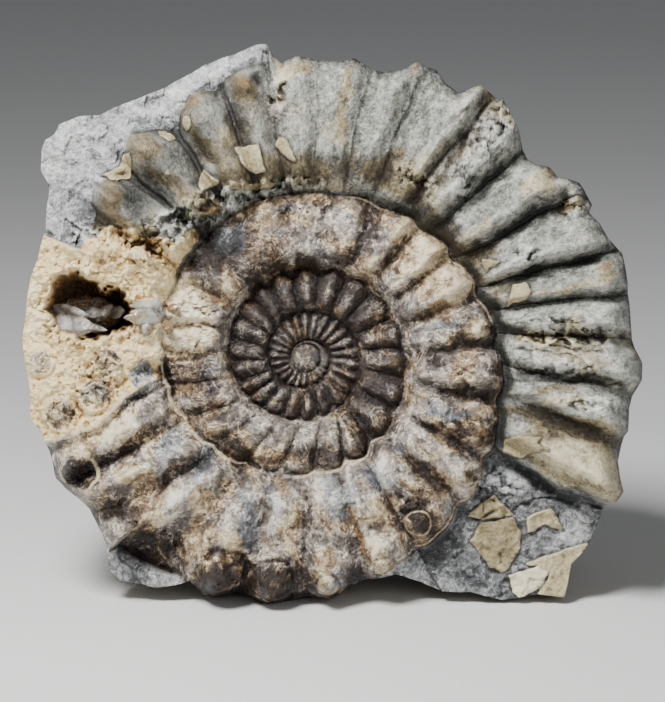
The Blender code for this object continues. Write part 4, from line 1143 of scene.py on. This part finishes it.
# The vug's wall, from a brown stain at its mouth to painted shade deeper in.
VUG_STAIN_AND_SHADE = ((0.15, (0.62, 0.45, 0.24)), (0.45, (0.38, 0.24, 0.11)), (0.85, (0.17, 0.10, 0.045)))
CLEAR_TONES = ((0.38, (0.52, 0.48, 0.42)), (0.50, (0.74, 0.72, 0.68)), (0.64, (0.96, 0.95, 0.92)))
BED_TONES = ((0.35, (0.07, 0.04, 0.02)), (0.65, (0.42, 0.29, 0.16)))
FLOOR_TONES = ((0.3, (0.74, 0.74, 0.73)), (0.7, (0.78, 0.78, 0.77)))
FLAKE_SHADOW = (0.05, 0.045, 0.035)
CRACK_COLOUR = (0.07, 0.062, 0.05)
CALCITE_IOR = 1.56
STONE_BUMP = 0.8
CRYSTAL_BUMP = 0.05
# Each kind of stone's tone: a start, and how much each pattern adds. Most patterns are 0.5 on average.
TONE_MIX = {
    "grey": (-1.77, {"speck": 0.95, "grain": 0.80, "streak": 0.95, "blot": 0.50, "cloud": 0.35}),
    "calcite": (-1.87, {
        "speck": 0.50, "grain": 0.70, "streak": 0.35, "blot": 1.10, "cloud": 0.40, "shard": 0.38,
        "small_shard": 0.31,
    }),
    "matrix": (-0.72, {
        "speck": 0.60, "grain": 0.55, "blot": 0.65, "cloud": 0.30, "shard": 0.14, "small_shard": 0.16,
        "vein": 0.35, "tone": 1.0,
    }),
    "crust": (-1.02, {
        "speck": 1.20, "grain": 1.15, "blot": 0.50, "cloud": 0.15, "shard": 0.20, "small_shard": 0.26,
        "tone": 1.0,
    }),
    # Flakes darken with the painted shade in hollows.
    "flake": (-1.12, {"speck": 0.7, "grain": 1.0, "blot": 0.8, "cloud": 0.5, "hollow_shade": -0.5}),
}


def coil_streak(n):
    """Noise drawn out along the ribs."""
    across = n.math("MULTIPLY", n.field("outwards"), 0.3)
    place = n.add("ShaderNodeCombineXYZ", [(0, n.field("along")), (1, across)]).outputs[0]
    in_metres = n.add("ShaderNodeVectorMath", [(0, place), (1, (MM, MM, MM))], operation="MULTIPLY")
    return n.noise(1.6, 5.0, 0.65, 0.5, in_metres.outputs[0])


def stone_patterns(n):
    """The patterns and fields that the kinds of stone share."""
    blot = n.noise(6.5, 7.0, 0.66, 0.9)
    vein = n.span(n.lines(9.0, 5.0, 0.6, 1.6), 0.028, 0.0)
    vein = n.math("MAXIMUM", vein, n.span(n.lines(4.5, 4.0, 0.6, 1.2), 0.022, 0.0, 0.0, 0.7))
    # Painted shade in hollows, from the mean height round each point.
    hollow_shade_weights = ((0.09, "fine_hollow_shade"), (0.09, "hollow_shade"), (0.07, "wide_hollow_shade"))
    hollow_shade = n.total(0.0, *((weight, n.field(field)) for weight, field in hollow_shade_weights))
    return {
        "speck": n.noise(0.8, 3.0, 0.75),
        "grain": n.noise(1.9, 5.0, 0.7),
        "blot": blot,
        "cloud": n.noise(24.0, 4.0, 0.5, 0.4),
        "shard": n.shards(4.2),
        "small_shard": n.shards(1.8),
        "streak": coil_streak(n),
        "vein": n.math("MULTIPLY", vein, n.span(blot, 0.36, 0.56)),
        "hollow_shade": hollow_shade,
        # The tone includes the painted shade in hollows.
        "tone": n.total(0.0, (0.95, n.field("tone")), (-1.0, hollow_shade)),
        "warm": n.field("warm"),
        # crest: painted highlight on rib crests and painted shade between them.
        "crest": n.field("crest"),
        "lively": n.total(1.0, (-1.0, n.field("calm"))),
    }


def grey_stone(n, p):
    """The grey infill of the outer whorl, olive in places."""
    own = n.math("MULTIPLY", n.mixed("grey", p), p["lively"])
    # The crest term is a painted highlight on rib crests and painted shade between them.
    tone = n.total(0.43, (1.0, own), (0.12, p["crest"]), (1.0, p["tone"]), (0.15, p["vein"]))
    olive = n.span(n.total(0.0, (1.0, p["cloud"]), (0.5, p["warm"]), (0.3, p["blot"])), 0.68, 0.92)
    return n.mix(olive, n.ramp(tone, *GREY_TONES), n.ramp(tone, *OLIVE_TONES))


def matrix_stone(n, p):
    """The limestone round the shell, with dark fissures."""
    fissure = n.span(n.lines(6.0, 7.0, 0.7, 1.0), 0.02, 0.0)
    return n.ramp(n.total(n.mixed("matrix", p), (-0.30, fissure)), *MATRIX_TONES)


def crust_stone(n, p):
    return n.ramp(n.mixed("crust", p), *CRUST_TONES)


def calcite_stone(n, p):
    """The shell's calcite, stained warm in places and blue-grey in others."""
    own = n.math("MULTIPLY", n.mixed("calcite", p), p["lively"])
    # The crest term is a painted highlight on rib crests and painted shade between them.
    tone = n.total(0.42, (0.85, own), (0.14, p["crest"]), (1.0, p["tone"]), (0.50, p["vein"]))
    stain = n.span(n.total(0.0, (1.0, n.noise(9.0, 5.0, 0.6, 0.5)), (0.35, p["warm"])), 0.49, 0.63)
    chill = n.span(n.total(0.0, (1.0, n.noise(11.0, 5.0, 0.6, 0.5)), (-0.35, p["warm"])), 0.59, 0.69)
    colour = n.mix(stain, n.ramp(tone, *CALCITE_TONES), n.ramp(tone, *WARM_TONES))
    return n.mix(chill, colour, n.ramp(tone, *COOL_TONES))


def add_marks(n, p, colour):
    """Seam rims with a painted highlight, rust, flakes of shell with a painted shadow round them and a
    painted highlight at their edges, cracks, and the vug's wall with painted shade deeper in, over the
    stone's own colour.
    """
    grain = p["grain"]
    rim = n.span(n.total(-0.15, (1.0, n.field("rim")), (0.3, grain)), 0.25, 0.7, 0.0, 0.8)
    # rim_tone: the cream shell edge, made paler by the painted seam highlight.
    rim_tone = n.total(-0.45, (1.2, grain), (0.6, n.field("pale_rim_and_highlight")))
    colour = n.mix(rim, colour, n.ramp(rim_tone, *WARM_TONES))
    rust = n.span(n.total(-0.75, (1.0, n.field("rust")), (1.5, grain)), 0.35, 0.9, 0.0, 0.55)
    colour = n.mix(rust, colour, n.ramp(grain, *RUST_TONES))
    depth = n.field("flake")
    colour = n.mix(n.span(depth, -1.1, -0.1, 0.0, 0.55), colour, FLAKE_SHADOW)
    flake = n.span(n.total(-0.15, (1.0, depth), (0.3, grain)), -0.05, 0.1)
    # The span near each flake's edge adds a painted highlight along it.
    flake_tone = n.total(n.mixed("flake", p), (1.0, n.field("flake_tone")), (0.10, n.span(depth, 0.9, 0.1)))
    colour = n.mix(flake, colour, n.ramp(flake_tone, *FLAKE_TONES))
    colour = n.mix(n.span(n.field("cracks"), 0.3, 0.9, 0.0, 0.6), colour, CRACK_COLOUR)
    vug = n.field("vug")
    # The vug's wall: brown stain, darkening further into the pocket as painted shade.
    wall = n.ramp(n.total(-0.25, (1.0, vug), (0.5, grain)), *VUG_STAIN_AND_SHADE)
    return n.mix(n.span(vug, 0.05, 0.35), colour, wall)


def stone_material():
    n = Nodes("stone")
    p = stone_patterns(n)
    grey, matrix = grey_stone(n, p), matrix_stone(n, p)
    colour = calcite_stone(n, p)
    ragged = n.total(0.0, (0.5, p["grain"]), (0.5, p["blot"]))
    for field, kind in (("grey", grey), ("crust", crust_stone(n, p)), ("matrix", matrix)):
        share = n.total(-0.5, (1.0, n.field(field)), (1.0, ragged))
        colour = n.mix(n.span(share, 0.42, 0.58), colour, kind)
    behind = n.field("behind")
    colour = n.mix(behind, colour, n.mix(n.span(p["cloud"], 0.45, 0.6), matrix, grey))
    colour = add_marks(n, p, colour)
    dry = n.math("MAXIMUM", n.field("matrix"), behind)
    roughness = n.blend(dry, n.total(0.10, (0.38, p["grain"])), 0.8)
    bump = n.total(0.0, (0.7, p["speck"]), (1.0, p["grain"]), (0.7, p["streak"]))
    return n.finish(colour, roughness, bump, STONE_BUMP)


def crystal_points(root, tip, half_width, half_thickness, turn, index):
    """The corners of a flattened six-sided crystal with a pointed end, in the face's frame."""
    root, tip = np.array(root), np.array(tip)
    along = tip - root
    across = np.cross(along, (0.0, 0.0, 1.0))
    across /= np.linalg.norm(across)
    out = np.cross(across, along) / np.linalg.norm(along)
    c, s = math.cos(math.radians(turn)), math.sin(math.radians(turn))
    across, out = across * c + out * s, out * c - across * s
    corners = [root, tip]
    for way, share in CRYSTAL_RINGS:
        for side in range(CRYSTAL_SIDES):
            angle = math.radians(360 / CRYSTAL_SIDES * side + 6.0 * math.sin(index * 2.3 + side))
            slip = 0.05 * math.sin(index * 5.1 + side * 2.0)
            spread = across * half_width * math.cos(angle) + out * half_thickness * math.sin(angle)
            corners.append(root + along * (way + slip) + spread * share)
    return np.array(corners)


def make_crystals():
    """The crystals and the crust that they grow from, as one piece."""
    bm = bmesh.new()
    for index, crystal in enumerate(CRYSTALS):
        corners = [bm.verts.new(corner) for corner in to_world(crystal_points(*crystal, index))]
        hull = bmesh.ops.convex_hull(bm, input=corners)
        inside = [item for item in hull["geom_interior"] if isinstance(item, bmesh.types.BMVert)]
        bmesh.ops.delete(bm, geom=inside, context="VERTS")
    bevel = {"offset": CRYSTAL_BEVEL * MM, "segments": 1, "affect": "EDGES", "clamp_overlap": True}
    bmesh.ops.bevel(bm, geom=list(bm.edges), **bevel)
    bed = bmesh.ops.create_icosphere(bm, subdivisions=5, radius=1.0)["verts"]
    ball = np.array([vertex.co[:] for vertex in bed])
    spots = np.array(BED_AT) + ball * np.array(BED_SIZE)
    bumps = 0.9 * layered_noise(spots, 3.0, 141, 3)
    for vertex, place in zip(bed, to_world(spots + ball * bumps[:, None])):
        vertex.co = place
    mesh = bpy.data.meshes.new("vug_crystal_crust")
    bm.to_mesh(mesh)
    bm.free()
    on_bed = np.arange(len(mesh.vertices)) >= len(mesh.vertices) - len(ball)
    mesh.attributes.new("bed", "FLOAT", "POINT").data.foreach_set("value", on_bed.astype(np.float32))
    mesh.materials.append(crystal_material())
    piece = bpy.data.objects.new("vug_crystal_crust", mesh)
    bpy.context.scene.collection.objects.link(piece)
    return piece


def crystal_material():
    n = Nodes("calcite")
    cloud = n.noise(5.0, 4.0, 0.6, 0.6)
    thread = n.noise(0.9, 3.0, 0.6)
    bed = n.field("bed")
    colour = n.mix(bed, n.ramp(cloud, *CLEAR_TONES), n.ramp(thread, *BED_TONES))
    n.shader.inputs["IOR"].default_value = CALCITE_IOR
    milk = n.span(cloud, 0.35, 0.62, 0.88, 0.6)
    n.feed(n.shader.inputs["Transmission Weight"], n.blend(bed, milk, 0.0))
    return n.finish(colour, n.span(thread, 0.3, 0.7, 0.05, 0.18), thread, CRYSTAL_BUMP)


def make_stone():
    stone = Stone()
    material = stone_material()
    half = CELLS // 2
    blocks = {
        "stone_face_lower_left": (0, half, 0, half),
        "stone_face_upper_left": (0, half, half, CELLS),
        "stone_face_lower_right": (half, CELLS, 0, half),
        "stone_face_upper_right": (half, CELLS, half, CELLS),
    }
    pieces = []
    for name, block in blocks.items():
        pieces.append(stone.piece(name, block_quads(*block), block_loop(*block), True, material))
    pieces.append(stone.piece("stone_side_and_back", stone.side_quads, stone.rim, False, material))
    return pieces


def look_at(thing, target):
    thing.rotation_euler = (Vector(target) - thing.location).to_track_quat("-Z", "Y").to_euler()


def face_point(u, v, w):
    return to_world(np.array([[float(u), float(v), float(w)]]))[0]


def make_camera():
    middle_u = (PHOTO_SIZE[0] / 2 - PHOTO_COIL[0]) * PHOTO_MM
    middle_v = (PHOTO_COIL[1] - PHOTO_SIZE[1] / 2) * PHOTO_MM
    target = face_point(middle_u, middle_v, CAMERA_FOCUS_W)
    camera = bpy.data.objects.new("camera", bpy.data.cameras.new("camera"))
    bpy.context.scene.collection.objects.link(camera)
    camera.location = target + CAMERA_AWAY * MM * np.array((0.0, -math.cos(LEAN), math.sin(LEAN)))
    look_at(camera, target)
    camera.data.sensor_fit = "HORIZONTAL"
    camera.data.lens = camera.data.sensor_width * CAMERA_AWAY / (PHOTO_SIZE[0] * PHOTO_MM)
    bpy.context.scene.camera = camera


# The lights: name, place, size, watts.
LIGHTS = (
    ("key", (-0.26, -0.34, 0.70), 0.26, 11.8),
    ("fill", (0.35, -0.8, 0.35), 0.5, 1.2),
)
LIT_POINT = (0.0, -0.02, 0.09)
SKY_COLOUR = (0.85, 0.87, 0.9, 1.0)
SKY_STRENGTH = 0.16
FLOOR_SIZE = 6.0


def make_lights():
    for name, place, size, power in LIGHTS:
        light = bpy.data.lights.new(name, "AREA")
        light.size = size
        light.energy = power
        lamp = bpy.data.objects.new(name, light)
        lamp.location = place
        look_at(lamp, LIT_POINT)
        bpy.context.scene.collection.objects.link(lamp)
    world = bpy.data.worlds.new("studio")
    world.use_nodes = True
    background = world.node_tree.nodes["Background"]
    background.inputs["Color"].default_value = SKY_COLOUR
    background.inputs["Strength"].default_value = SKY_STRENGTH
    bpy.context.scene.world = world


def make_floor():
    bpy.ops.mesh.primitive_plane_add(size=FLOOR_SIZE)
    floor = bpy.context.active_object
    floor.name = "floor"
    n = Nodes("floor")
    tint = n.ramp(n.noise(900.0, 2.0), *FLOOR_TONES)
    floor.data.materials.append(n.finish(tint, 0.6, n.noise(4.0), 0.01))


def main():
    for piece in make_stone():
        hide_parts("ammonite")
        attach(piece, "root")
    crystals = make_crystals()
    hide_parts("vug_crystals")
    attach(crystals, "root")
    make_floor()
    make_lights()
    make_camera()


main()
